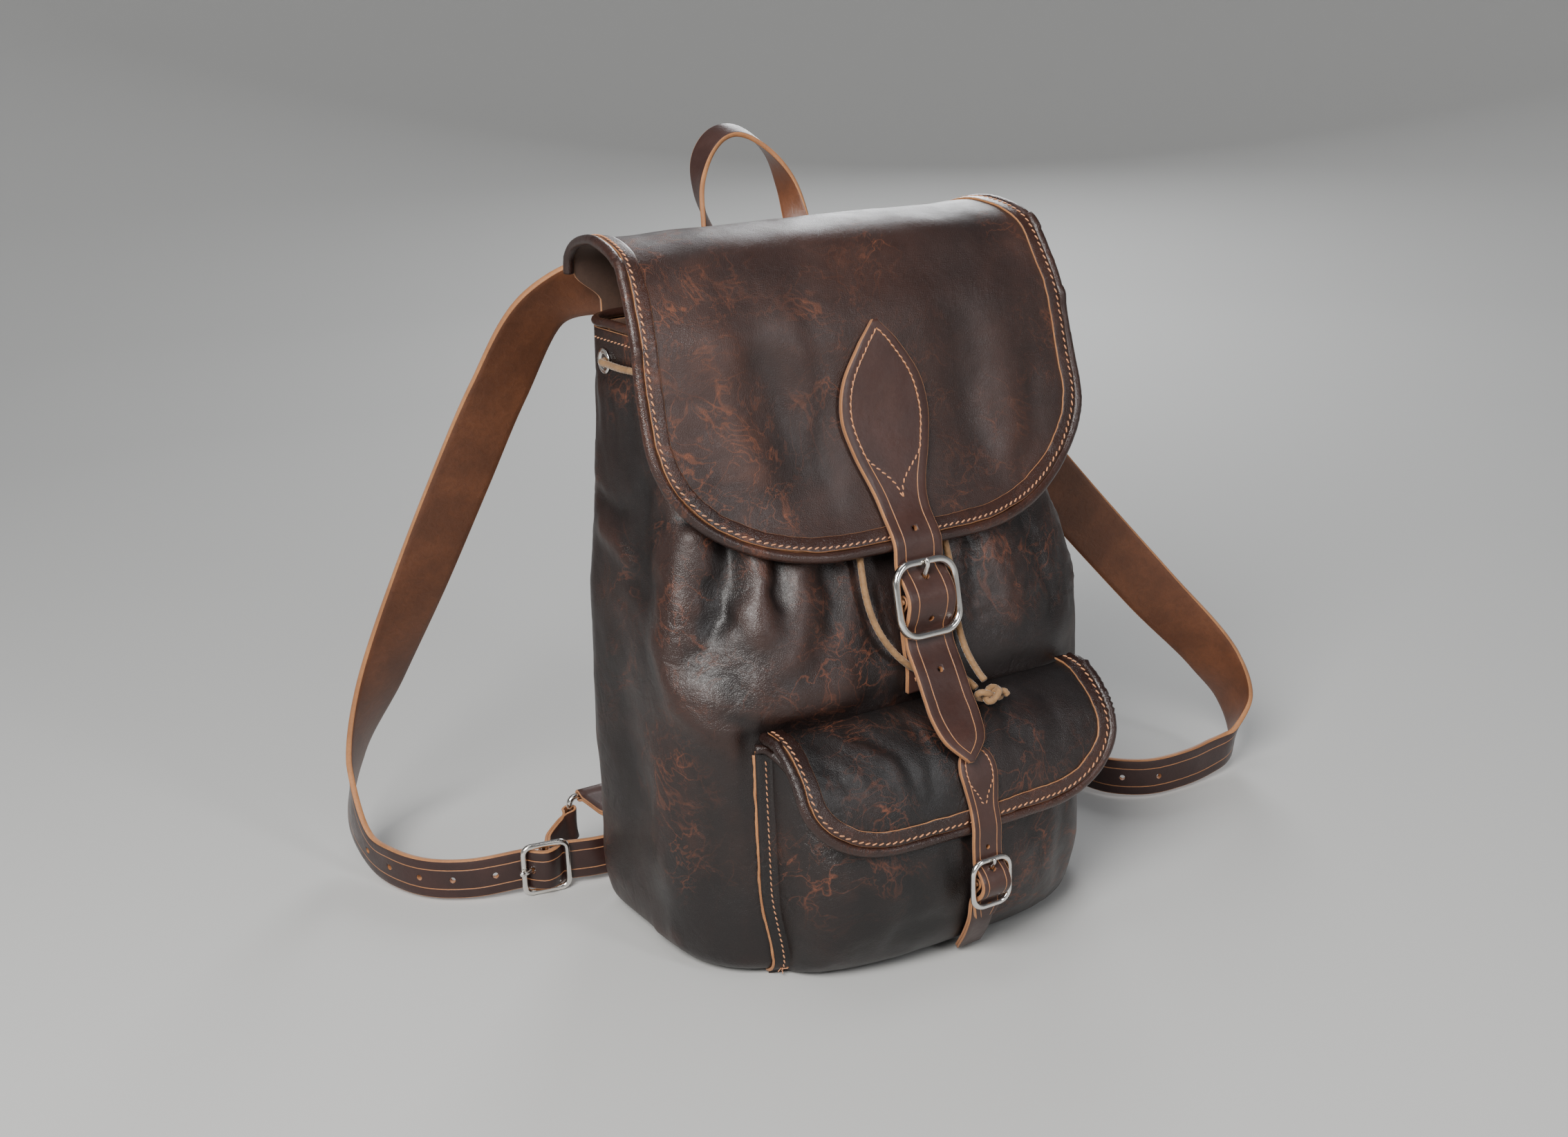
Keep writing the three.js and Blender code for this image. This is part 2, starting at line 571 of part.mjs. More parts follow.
function makeMainStrap() {
  const face = V(0, -1, 0);
  const plain = (at, width = BILLET_WIDTH) => ({ at, width, face, thick: STRAP_LEATHER });
  const through = threaded(mainPlace, MAIN_BUCKLE, STRAP_LEATHER, MAIN_CROWN);
  const stations = [...flapStations(), plain(V(0, -73.3, 238)), ...through.map((at) => plain(at)),
    plain(V(0, TAIL_PIVOT[1], TAIL_PIVOT[2] + 0.6))];
  const hole = onPlace(mainPlace, 0, MAIN_BUCKLE.halfHeight * 0.58, 1.8);
  let billet = toSolid(strap(stations, 9));
  billet = billet.subtract(pin(hole, V(0, -0.72, 0.69), 3.0, 14, 10));
  billet = billet.subtract(pin(V(0, -67, 243), V(0, -0.9, 0.45), 1.6, 12, 8));
  billet = billet.subtract(pin(V(0, -86, 196), V(0, -1, 0), 1.6, 12, 8));
  add('flap_strap', billet, 'strap');
  const tail = [[-0.2, -85, 179.7], [-1, -94.6, 167.5], [-2, -103.5, 155.5], [-3, -112, 146], [-4, -122, 135.4],
    [-5, -128.8, 125.6]];
  const widths = [BILLET_WIDTH, BILLET_WIDTH, BILLET_WIDTH, BILLET_WIDTH, 25, 3];
  const lean = V(0, -0.86, 0.5);
  const tailStations = fromArray(tail).map((at, k) => ({ at, width: widths[k], face: lean, thick: STRAP_LEATHER }));
  const tip = toSolid(strap(tailStations, 9)).subtract(pin(V(-1, -94, 168.3), lean, 1.6, 12, 8));
  add('strap_tail', tip, 'strap');
}

function makeMainBuckle() {
  add('main_buckle', buckleFrame(mainPlace, MAIN_BUCKLE), 'metal');
  add('main_prong', buckleProng(mainPlace, MAIN_BUCKLE, MAIN_CROWN), 'metal');
  const { bar } = mainPlace;
  const face = V(0, -1, 0);
  const layer = 2.3;
  const sewn = (y, z, thick) => ({ at: V(0, y, z), width: 26, face, thick });
  const stations = [sewn(bar.y, bar.z, layer * 2), sewn(bar.y + 1.4, 200, layer * 2), sewn(-77.6, 193, 4.2),
    sewn(-77.9, 187, 4), sewn(frontAt(0, 178) - GAP - 1.6, 178, 3), sewn(frontAt(0, 168) - GAP - 1.2, 168, layer),
    sewn(frontAt(0, 158) - GAP - 1.2, 158, layer)];
  const eye = { at: bar, axis: mainPlace.right, bore: MAIN_BUCKLE.bar + GAP, length: 26 };
  const slot = block([-2.3, bar.y - 8, bar.z - 5], [2.3, bar.y + 8, bar.z + 12]);
  add('buckle_chape', chape(stations, 8, [eye], layer, slot), 'strap');
}

// ---- front pocket ----
function pocketVolume(inset, low, high) {
  const rows = 10;
  const halves = 9;
  const rings = Array.from({ length: rows + 1 }, (_, i) => {
    const z = low + ((high - low) * i) / rows;
    const level = Math.min(Math.max(z, POCKET.bottom), POCKET.top);
    const depth = along(POCKET_DEPTH, level) - inset;
    const ring = [];
    for (let k = -halves; k <= halves; k += 1) {
      const turn = (Math.PI / 2) * (k / halves);
      const bow = Math.sign(k) * Math.abs(Math.sin(turn)) ** (2 / 3);
      const x = bow * (POCKET.halfWidth - inset);
      ring.push(V(x, frontAt(x, level) - GAP - depth * Math.cos(turn), z));
    }
    for (let k = 3; k >= -3; k -= 1) {
      const x = (k / 4) * (POCKET.halfWidth - inset);
      ring.push(V(x, frontAt(x, level) - GAP + (inset > 0 ? 4 : 0), z));
    }
    return ring;
  });
  return toSolid(loftPocket(rings));
}

// Pocket sections aren't convex, so their ends are closed as flat shapes.
function loftPocket(rings) {
  const count = rings[0].length;
  const flat = rings[0].map((p) => new THREE.Vector2(p.x, p.y));
  const cap = THREE.ShapeUtils.triangulateShape(flat, []);
  const end = (rings.length - 1) * count;
  const faces = [];
  for (let i = 0; i < rings.length - 1; i += 1) {
    for (let j = 0; j < count; j += 1) {
      const k = (j + 1) % count;
      const a = i * count;
      const b = a + count;
      faces.push([a + j, a + k, b + k], [a + j, b + k, b + j]);
    }
  }
  for (const [a, b, c] of cap) faces.push([a, c, b], [end + a, end + b, end + c]);
  return closedGeometry(rings.flat(), faces);
}

function makePocket() {
  const outer = pocketVolume(0, POCKET.bottom - 1.9, POCKET.top);
  const inner = pocketVolume(LEATHER, POCKET.bottom + LEATHER, POCKET.top + 3);
  const bag = toSolid(loft(BAG_LEVELS.map((z) => bagOutline(z, -GAP))));
  add('pocket_panel', outer.subtract(inner).subtract(bag), 'body');
  const rim = [];
  for (let k = -12; k <= 12; k += 1) {
    const turn = (Math.PI / 2) * (k / 12) * 0.94;
    const x = Math.sign(k) * Math.abs(Math.sin(turn)) ** (2 / 3) * (POCKET.halfWidth - LEATHER / 2);
    const depth = (along(POCKET_DEPTH, POCKET.top) - LEATHER / 2) * Math.cos(turn);
    rim.push(V(x, frontAt(x, POCKET.top) - GAP - Math.max(depth, ROLL + 0.2), POCKET.top + GAP + ROLL));
  }
  add('pocket_binding', roundBar(rim, ROLL, Z_AXIS, 6), 'binding');
}

const pocketPlace = { bar: V(0, -137.6, 57), right: V(1, 0, 0), up: V(0, 0, 1), out: V(0, -1, 0) };
const POCKET_CROWN = 7.4;

function makePocketFlap() {
  add('pocket_flap_panel', sheet(pocketFlapPoint, spread(6), even(10), LEATHER), 'body');
  add('pocket_flap_binding', flapRoll(pocketFlapPoint, LEATHER, 9, 18), 'binding');
  const { width, leafWidth, thickness } = POCKET_STRAP;
  const through = threaded(pocketPlace, POCKET_BUCKLE, thickness, POCKET_CROWN);
  const face = V(0, -1, 0);
  const station = (at, wide, look = face) => ({ at, width: wide, face: look, thick: thickness });
  const onFlap = (s) => {
    const t = s / POCKET_FLAP_LENGTH;
    const look = pocketFlapCurve.getTangentAt(t).cross(X_AXIS).normalize();
    return { at: pocketFlapCurve.getPointAt(t).addScaledVector(look, GAP + thickness / 2), look };
  };
  const leaf = [[40, 3], [47, 19], [54, leafWidth], [62, 23], [75, width]].map(([s, wide]) => {
    const { at, look } = onFlap(s);
    return station(at.setX(1.5), wide, look);
  });
  const stations = [...leaf, station(V(1, -134.8, 88), width), station(V(0.5, -135.4, 80), width),
    ...through.map((at) => station(at, width)), station(V(0, -133.6, 34), width - 6)];
  const hole = onPlace(pocketPlace, 0, POCKET_BUCKLE.halfHeight * 0.6, 3.2);
  let billet = toSolid(strap(stations, 8));
  billet = billet.subtract(pin(hole, V(0, -0.8, 0.6), 2.3, 14, 10));
  billet = billet.subtract(pin(V(0, -136, 77), V(0, -1, 0), 1.3, 12, 8));
  add('pocket_strap', billet, 'strap');
}

function makePocketBuckle() {
  add('pocket_buckle', buckleFrame(pocketPlace, POCKET_BUCKLE), 'metal');
  add('pocket_prong', buckleProng(pocketPlace, POCKET_BUCKLE, POCKET_CROWN), 'metal');
  const { bar } = pocketPlace;
  const layer = 1.8;
  const line = [[0, bar.y, bar.z], [0, -135.4, 51.5], [0, -132, 43.5], [2, -127.4, 31], [4, -119.4, 17], [6, -110, 4.6]];
  const stations = fromArray(line).map((at) => ({ at, width: 16, face: V(0, -0.9, -0.4), thick: layer * 2 }));
  const eye = { at: bar, axis: pocketPlace.right, bore: POCKET_BUCKLE.bar + GAP, length: 16 };
  const slot = block([-2.2, bar.y - 6, bar.z - 4], [2.2, bar.y + 6, bar.z + 8]);
  add('pocket_chape', chape(stations, 8, [eye], layer, slot), 'strap');
}

// ---- drawstring ----
const KNOT = { at: V(27, -104.5, 150.6), half: V(11, 6.5, 6.2) };

// Each free end's route from its eyelet to the knot.
const DRAWSTRING_LEFT = [[-20, -26.4, 338], [-21, -29.5, 334], [-24, -31.5, 318], [-27, -37.5, 295], [-29, -47, 268],
  [-31, -57.5, 247], [-32, -62.3, 237], [-33.5, -66.6, 228], [-35, -72.6, 214], [-34, -77, 202], [-30, -81, 190],
  [-22, -84.6, 178], [-11, -85.8, 168.5], [3, -86.2, 162.5], [13, -86.6, 160],
  [19.5, -88.5, 157.5], [22, -92.5, 155], [22.5, -96.6, 153]];
const DRAWSTRING_RIGHT = [[20, -26.4, 338], [21, -29.5, 334], [23, -31, 318], [24.5, -37, 295], [25, -46.5, 268],
  [25, -58, 245], [25, -65.5, 230], [24.5, -72, 214], [24, -75.5, 200], [23, -79.5, 187], [23, -87, 173],
  [25, -95.5, 162], [26, -100.5, 157.8]];

function makeDrawstring() {
  add('neck_cord', cordShape(neckCord(), 96), 'cord');
  add('drawstring_left', cordShape(fromArray(DRAWSTRING_LEFT), 28), 'cord');
  add('drawstring_right', cordShape(fromArray(DRAWSTRING_RIGHT), 22), 'cord');
  const knot = new THREE.SphereGeometry(1, 12, 8).scale(KNOT.half.x, KNOT.half.y, KNOT.half.z);
  add('drawstring_knot', toSolid(knot.translate(KNOT.at.x, KNOT.at.y, KNOT.at.z)), 'cord');
}

// ---- handle ----
const HANDLE = { width: 16, thickness: 3 };

function makeHandle() {
  const { width, thickness } = HANDLE;
  const half = [
    [[-28.5, 86.3, 375.5], [0, 1, 0]], [[-30, 89.5, 388], [-0.35, 0.9, -0.2]], [[-31, 95.5, 402], [-0.75, 0.6, -0.2]],
    [[-30, 104, 420], [-1, 0.2, 0]], [[-23, 111.5, 438], [-0.8, -0.2, 0.6]], [[-11, 116, 449], [-0.4, -0.3, 0.9]],
  ];
  const stations = half.map(([at, face]) => ({ at: V(...at), face: V(...face), width, thick: thickness }));
  const mirrored = half.map(([at, face]) => ({
    at: V(-at[0], at[1], at[2]), face: V(-face[0], face[1], face[2]), width, thick: thickness,
  })).reverse();
  const top = { at: V(0, 117, 452), face: V(0, -0.3, 0.95), width, thick: thickness };
  add('handle_loop', strap([...stations, top, ...mirrored], 9), 'strap');
  for (const [side, name] of [[-1, 'handle_end_left'], [1, 'handle_end_right']]) {
    const line = [V(side * 28, 85.5, 350), V(side * 28.3, 85.5, 366), V(side * 28.5, 86, 373.8)];
    add(name, strap(line.map((at) => ({ at, face: V(0, 1, 0), width, thick: thickness })), 20), 'strap');
  }
}

// ---- shoulder straps ----
const WIDE = 38;
const TONGUE = 25;
const ROOT_SPLIT = 62; // how far out the sewn root of a shoulder strap ends

function strapPlace(bar, up) {
  const out = up.clone().cross(Z_AXIS).multiplyScalar(bar.x < 0 ? -1 : 1);
  return { bar, right: Z_AXIS.clone(), up, out };
}

const leftPlace = strapPlace(V(-162.9, 99.4, 17.4), V(-0.985, 0.17, 0).normalize());
const rightPlace = strapPlace(V(171.4, 85.4, 17.4), V(0.9, -0.436, 0).normalize());
const STRAP_CROWN = 6.6;

// How far the buckle's short strap bends away from the tongue that crosses it.
const SAG = 6;

function makeShoulderStrap(name, side, place, upper, lower, tail) {
  const thick = SHOULDER_LEATHER;
  const station = ([x, y, z, fx, fy, fz, width]) => ({ at: V(x, y, z), face: V(fx, fy, fz), width, thick });
  const through = threaded(place, STRAP_BUCKLE, thick, STRAP_CROWN).map((at) => ({
    at, face: place.out, width: TONGUE, thick,
  }));
  const outward = tail.map(([x, y, z]) => ({ at: V(x, y, z), face: place.out, width: TONGUE, thick }));
  const stations = [...upper.map(station), ...lower.map(station), ...through, ...outward];
  let solid = toSolid(strap(stations, 14));
  const hole = onPlace(place, 0, STRAP_BUCKLE.halfHeight * 0.6, 2.2);
  const slant = place.out.clone().addScaledVector(place.up, 0.62);
  solid = solid.subtract(pin(hole, slant, 2.7, 14, 10));
  add(`${name}_strap`, solid, 'shoulder');

  const rootLine = [[12, 346], [34, 353], [ROOT_SPLIT - 1, 362.5]];
  add(`${name}_strap_root`, strap(rootLine.map(([x, z], k) => ({
    at: V(side * x, 81.2 + k * k * 0.35, z), face: V(0, 1, 0), width: WIDE, thick,
  })), 30), 'shoulder');

  add(`${name}_buckle`, buckleFrame(place, STRAP_BUCKLE), 'metal');
  add(`${name}_prong`, buckleProng(place, STRAP_BUCKLE, STRAP_CROWN), 'metal');

  const ringPlace = { bar: V(side * 116, 126, 28), right: V(1, 0, 0), up: Z_AXIS.clone(), out: V(0, -1, 0) };
  const loop = roundedLoop(ringPlace, RING.halfWidth, RING.halfHeight, RING.corner, 0);
  add(`${name}_ring`, roundBar(loop, RING.wire, ringPlace.out, 8, true), 'metal');

  const layer = 2.1;
  const wire = V(side * (116 + RING.halfWidth), 126, 28);
  const halfway = place.bar.clone().lerp(wire, 0.3).addScaledVector(place.out, -SAG);
  const chapeLine = [place.bar, place.bar.clone().lerp(halfway, 0.6), halfway, wire.clone().lerp(halfway, 0.3), wire];
  const across = place.out;
  const chapeStations = chapeLine.map((at) => ({ at, face: across, width: 20.5, thick: layer * 2 }));
  const eyes = [
    { at: place.bar, axis: Z_AXIS, bore: STRAP_BUCKLE.bar + GAP, length: 20.5 },
    { at: wire, axis: Z_AXIS, bore: 4.2, length: 20.5 },
  ];
  const slotCentre = place.bar.clone().addScaledVector(place.up, 4);
  const slot = block([slotCentre.x - 12, slotCentre.y - 12, place.bar.z - 2.4],
    [slotCentre.x + 12, slotCentre.y + 12, place.bar.z + 2.4]).intersect(pin(slotCentre, Z_AXIS, 9, 40, 16));
  add(`${name}_chape`, chape(chapeStations, 12, eyes, layer, slot), 'strap');

  const tabLine = [[82.1, 68], [81.3, 54], [84, 47.6], [93, 45.6], [106, 45.2], [119, 45], [126, 45]];
  const tabStations = tabLine.map(([y, z]) => ({ at: V(side * 116, y, z), face: V(0, 0.6, 0.8), width: 20, thick: 3.4 }));
  const tabEye = { at: V(side * 116, 126, 45), axis: X_AXIS, bore: RING.wire + GAP, length: 20 };
  add(`${name}_tab`, chape(tabStations, 10, [tabEye], 1.9, null), 'strap');
}

// Rows are x, y, z, the outer side's direction, and the width.
const LEFT_UPPER = [
  [-65, 84.2, 364, 0, 1, 0, WIDE], [-80, 87.5, 369, 0, 1, 0.1, WIDE], [-104, 97, 372, 0.05, 0.95, 0.3, WIDE],
  [-132, 112, 360, 0, 0.85, 0.5, WIDE], [-155, 135, 310, 0.05, 0.92, 0.35, WIDE], [-174, 160, 253, 0.1, 0.93, 0.3, WIDE],
  [-195, 185, 190, 0, 0.95, 0.25, WIDE], [-220, 208, 120, -0.35, 0.9, 0.2, WIDE], [-239, 217, 66, -0.8, 0.5, 0.1, WIDE],
];
const LEFT_LOWER = [
  [-247, 204, 36, -1, 0.1, 0, 36], [-246, 182, 19, -1, 0, 0, TONGUE], [-240, 155, 15.5, -0.95, -0.2, 0, TONGUE],
  [-227, 130, 15, -0.8, -0.5, 0, TONGUE], [-205, 113, 15.5, -0.5, -0.9, 0, TONGUE],
];
const LEFT_TAIL = [[-132, 93.6, 17.4], [-113, 91, 17.4]];
const RIGHT_UPPER = [
  [65.5, 84.2, 364, 0, 1, 0, WIDE], [80, 87.5, 367, 0, 1, 0.1, WIDE], [122, 98, 330, 0.1, 0.95, 0.3, WIDE],
  [167, 85, 270, 0.25, 0.9, 0.3, WIDE], [217, 60, 200, 0.35, 0.85, 0.3, WIDE], [270, 32, 130, 0.5, 0.8, 0.3, WIDE],
  [313, 12, 76, 0.8, 0.5, 0.3, WIDE],
];
const RIGHT_LOWER = [
  [325, 2, 44, 1, -0.1, 0.1, 36], [312, -8, 21, 0.7, -0.7, 0, TONGUE], [286, -12, 16, 0.1, -1, 0, TONGUE],
  [258, -14, 15, -0.1, -1, 0, TONGUE], [232, -10, 15, -0.25, -0.97, 0, TONGUE], [213, 6, 15.5, -0.8, -0.6, 0, TONGUE],
  [206, 32, 16, -1, 0, 0, TONGUE], [201, 58, 16.5, -0.9, -0.4, 0, TONGUE],
];
const RIGHT_TAIL = [[148.2, 95.4, 17.4], [139.5, 98.6, 17.4]];

// ---- assembly ----
makeBag();
makeFlap();
makeMainStrap();
makeMainBuckle();
makePocket();
makePocketFlap();
makePocketBuckle();
makeDrawstring();
makeHandle();
makeShoulderStrap('left', -1, leftPlace, LEFT_UPPER, LEFT_LOWER, LEFT_TAIL);
makeShoulderStrap('right', 1, rightPlace, RIGHT_UPPER, RIGHT_LOWER, RIGHT_TAIL);

export default model;
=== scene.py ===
"""Leather backpack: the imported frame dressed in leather, nickel and cord.

Shapes are in millimetres, like the CAD. build() turns them into metres.
"""
import math

import bmesh
import bpy
import numpy as np
from mathutils import Matrix, Vector


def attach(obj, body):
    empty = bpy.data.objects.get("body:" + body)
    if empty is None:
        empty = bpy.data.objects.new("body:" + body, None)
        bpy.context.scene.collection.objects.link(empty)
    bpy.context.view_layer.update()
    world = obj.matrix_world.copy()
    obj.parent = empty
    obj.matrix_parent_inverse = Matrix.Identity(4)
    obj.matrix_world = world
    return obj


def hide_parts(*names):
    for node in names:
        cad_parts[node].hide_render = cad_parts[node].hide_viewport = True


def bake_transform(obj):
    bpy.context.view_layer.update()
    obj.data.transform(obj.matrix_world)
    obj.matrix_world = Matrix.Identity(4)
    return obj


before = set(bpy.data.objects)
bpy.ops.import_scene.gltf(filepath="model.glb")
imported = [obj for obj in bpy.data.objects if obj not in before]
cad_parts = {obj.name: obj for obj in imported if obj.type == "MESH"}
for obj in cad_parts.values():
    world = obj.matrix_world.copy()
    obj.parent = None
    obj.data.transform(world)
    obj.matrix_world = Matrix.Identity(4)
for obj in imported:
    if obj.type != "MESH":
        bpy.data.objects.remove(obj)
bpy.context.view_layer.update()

MM = 0.001
BAG = "bag_body"
FLAP = "flap_body"
POCKET_FLAP = "pocket_flap_body"
SIDES = {-1: "left", 1: "right"}

# ---- dimensions shared with the CAD ----
GAP = 0.35
LEATHER = 2.2
STRAP_LEATHER = 3.0
SHOULDER_LEATHER = 3.8
ROLL = 2.6
BAG_HALF_WIDTH = [[0, 126], [4, 133], [12, 138], [30, 141], [120, 142], [200, 141], [260, 134],
                  [300, 129], [358, 127]]
BAG_FRONT = [[0, -68], [4, -74], [12, -78], [40, -80], [150, -79.5], [165, -80.5], [185, -75.5],
             [210, -67], [243, -51], [280, -36], [310, -27], [340, -21], [358, -19]]
BAG_BACK = [[0, 68], [4, 74], [12, 77], [40, 79], [200, 78], [300, 76], [358, 74]]
FRONT_CORNER = [[0, 50], [30, 60], [200, 60], [300, 40], [358, 36]]
BACK_CORNER = [[0, 24], [30, 28], [200, 28], [358, 22]]
BACK_PANEL_HALF_WIDTH = 111
BAG_TOP = 355.5
MOUTH_HEIGHT = 358.8
NECK_HEIGHT = 338
FRONT_EYELETS = [20, 78]
SIDE_EYELET_Y = 45
EYELET = {"bore": 4.0, "barrel": 4.7, "flange": 7.4, "thick": 0.8}
YOKE = {"half_width": 112, "bottom": 318, "top": 383.2}
YOKE_STAND = [[318, 0], [338, 0.2], [350, 1.9], [384, 1.9]]
FLAP_PROFILE = [[78.3, 384.2], [75.5, 393], [66, 401], [47, 406], [28, 406], [0, 398], [-20, 376], [-32, 355],
                [-40, 309], [-47, 284], [-56, 260], [-68.4, 239.5]]
FLAP_HALF_WIDTH = [[0, 128], [40, 130], [110, 136], [170, 140], [290, 140]]
FLAP_SIDE_SET = [[0, 0], [90, 2], [150, 9], [210, 4], [290, 15]]
FLAP_CORNER = (0.3, 74)
LEAF = {"top": 356, "widest": 58}
BILLET_WIDTH = 31.5
POCKET = {"bottom": 2.2, "top": 117}
POCKET_DEPTH = [[2.2, 24], [12, 34], [30, 44], [60, 50], [85, 46], [105, 39], [117, 34.5]]
POCKET_FLAP_PROFILE = [[-82.2, 149], [-92, 148], [-105, 142], [-117, 131], [-125, 117], [-129, 103],
                       [-130.5, 90]]
POCKET_FLAP_HALF_WIDTH = 103
POCKET_FLAP_CORNER = (0.5, 36)
MAIN_BUCKLE = {"half_width": 19.8, "half_height": 20.4, "corner": 11, "wire": 2.25, "bar": 1.9, "lift": 2.4,
               "prong": 1.5}
POCKET_BUCKLE = {"half_width": 12.3, "half_height": 13.6, "corner": 7, "wire": 1.6, "bar": 1.5, "lift": 2.4,
                 "prong": 1.1}
STRAP_BUCKLE = {"half_width": 15.2, "half_height": 14, "corner": 5, "wire": 1.9, "bar": 1.8, "lift": 2.4,
                "prong": 1.4}
RING = {"half_width": 16, "half_height": 17, "corner": 4.5, "wire": 2.0}
CORD_RADIUS = 2.0
CORD_PITCH = 0.7

# ---- numbers ----
def V(x, y, z):
    return np.array([x, y, z], float)


def unit(v):
    v = np.asarray(v, float)
    return v / np.maximum(np.linalg.norm(v, axis=-1, keepdims=True), 1e-12)


X_AXIS = V(1, 0, 0)
Z_AXIS = V(0, 0, 1)


def along(table, at):
    """Smooth value at a position in a table of [position, value] rows."""
    xs, ys = np.array(table, float).T
    at = np.clip(np.asarray(at, float), xs[0], xs[-1])
    lo, hi = np.maximum(np.arange(len(xs)) - 1, 0), np.minimum(np.arange(len(xs)) + 1, len(xs) - 1)
    slope = (ys[hi] - ys[lo]) / (xs[hi] - xs[lo])
    k = np.clip(np.searchsorted(xs, at, side="left") - 1, 0, len(xs) - 2)
    span = xs[k + 1] - xs[k]
    t = (at - xs[k]) / span
    h = t * t * (3 - 2 * t)
    bend = slope[k] * t * (1 - t) ** 2 - slope[k + 1] * t * t * (1 - t)
    return ys[k] * (1 - h) + ys[k + 1] * h + span * bend


def run_length(points):
    """How far along a line each of its points is."""
    return np.concatenate([[0], np.cumsum(np.linalg.norm(np.diff(points, axis=0), axis=1))])


def smoothstep(low, high, x):
    t = np.clip((np.asarray(x, float) - low) / (high - low), 0, 1)
    return t * t * (3 - 2 * t)


class Curve:
    """Centripetal Catmull-Rom curve through points, as three.js draws it."""

    def __init__(self, points):
        self.p = np.array(points, float)
        fine = self.at(np.linspace(0, 1, 60 * len(self.p)))
        self.steps = run_length(fine)
        self.length = self.steps[-1]

    def at(self, t):
        t = np.atleast_1d(np.asarray(t, float))
        n = len(self.p)
        x = t * (n - 1)
        k = np.clip(np.floor(x).astype(int), 0, n - 2)
        w = (x - k)[:, None]
        p = self.p
        before = np.vstack([2 * p[0] - p[1], p, 2 * p[-1] - p[-2]])
        p0, p1, p2, p3 = before[k], before[k + 1], before[k + 2], before[k + 3]
        d0, d1, d2 = (np.maximum(np.linalg.norm(b - a, axis=1), 1e-9)[:, None] ** 0.5
                      for a, b in ((p0, p1), (p1, p2), (p2, p3)))
        m1 = ((p1 - p0) / d0 - (p2 - p0) / (d0 + d1) + (p2 - p1) / d1) * d1
        m2 = ((p2 - p1) / d1 - (p3 - p1) / (d1 + d2) + (p3 - p2) / d2) * d1
        c2 = -3 * p1 + 3 * p2 - 2 * m1 - m2
        c3 = 2 * p1 - 2 * p2 + m1 + m2
        return p1 + m1 * w + c2 * w ** 2 + c3 * w ** 3

    def at_length(self, s):
        s = np.atleast_1d(np.asarray(s, float))
        inside = np.interp(s, self.steps, np.linspace(0, 1, len(self.steps)))
        points = self.at(inside)
        ends = self.at([0, 0.002, 0.998, 1])
        first, last = unit(ends[1] - ends[0]), unit(ends[3] - ends[2])
        points = points + np.minimum(s, 0)[:, None] * first + np.maximum(s - self.length, 0)[:, None] * last
        return points


def spread(marks, steps, values):
    """Rows of values, known at steps along a line, read off at marks."""
    return np.stack([np.interp(marks, steps, values[:, i]) for i in range(3)], axis=1)


def resample(points, pitch, closed=False):
    """Points a fixed distance apart along a line."""
    points = np.array(points, float)
    if closed:
        points = np.vstack([points, points[:1]])
    steps = run_length(points)
    count = max(2, int(round(steps[-1] / pitch)) + 1)
    marks = np.linspace(0, steps[-1], count)
    out = spread(marks, steps, points)
    return out[:-1] if closed else out


def tangents(points, closed=False):
    if closed:
        return unit(np.roll(points, -1, axis=0) - np.roll(points, 1, axis=0))
    return unit(np.gradient(points, axis=0))


def noise1(x, seed):
    """Smooth noise of one number, about -1 to 1."""
    x = np.asarray(x, float)
    rng = np.random.default_rng(seed)
    total = 0
    for freq, gain in ((1, 1), (2.1, 0.5), (4.3, 0.25)):
        phase, shift = rng.uniform(0, 6.28, 2)
        total = total + gain * np.sin(freq * x + phase + 0.7 * np.sin(0.53 * freq * x + shift))
    return total / 1.5


def noise2(x, y, seed):
    """Smooth value noise of two numbers, about -1 to 1."""
    rng = np.random.default_rng(seed)
    table = rng.uniform(-1, 1, (64, 64))
    total, gain = 0, 1.0
    for _ in range(3):
        i, j = np.floor(x).astype(int), np.floor(y).astype(int)
        u, v = x - i, y - j
        u, v = u * u * (3 - 2 * u), v * v * (3 - 2 * v)
        a, b = table[i % 64, j % 64], table[(i + 1) % 64, j % 64]
        c, d = table[i % 64, (j + 1) % 64], table[(i + 1) % 64, (j + 1) % 64]
        total = total + gain * ((a * (1 - u) + b * u) * (1 - v) + (c * (1 - u) + d * u) * v)
        x, y, gain = x * 2.03 + 11.3, y * 2.03 + 5.7, gain * 0.5
    return total


def crease(x, z, line, width, height):
    """A ridge, or a valley if height is negative, along a line of (x, z) points. It is lower at its ends."""
    line = np.array(line, float)
    best = np.full(np.shape(x), 1e9)
    where = np.zeros(np.shape(x))
    lengths = run_length(line)
    for k in range(len(line) - 1):
        (ax, az), (bx, bz) = line[k], line[k + 1]
        dx, dz = bx - ax, bz - az
        span = dx * dx + dz * dz
        t = np.clip(((x - ax) * dx + (z - az) * dz) / span, 0, 1)
        distance = np.hypot(x - ax - t * dx, z - az - t * dz)
        closer = distance < best
        best = np.where(closer, distance, best)
        where = np.where(closer, lengths[k] + t * math.sqrt(span), where)
    total = lengths[-1]
    fade = smoothstep(0, 0.22 * total, where) * (1 - smoothstep(0.78 * total, total, where))
    return height * np.exp(-(best / width) ** 2) * (0.25 + 0.75 * fade)


def creased(relief, x, z, lines, shift=0):
    """A relief with a crease for each of lines, which are (line, width, height)."""
    for line, width, height in lines:
        relief = relief + crease(x + shift, z, line, width, height)
    return relief


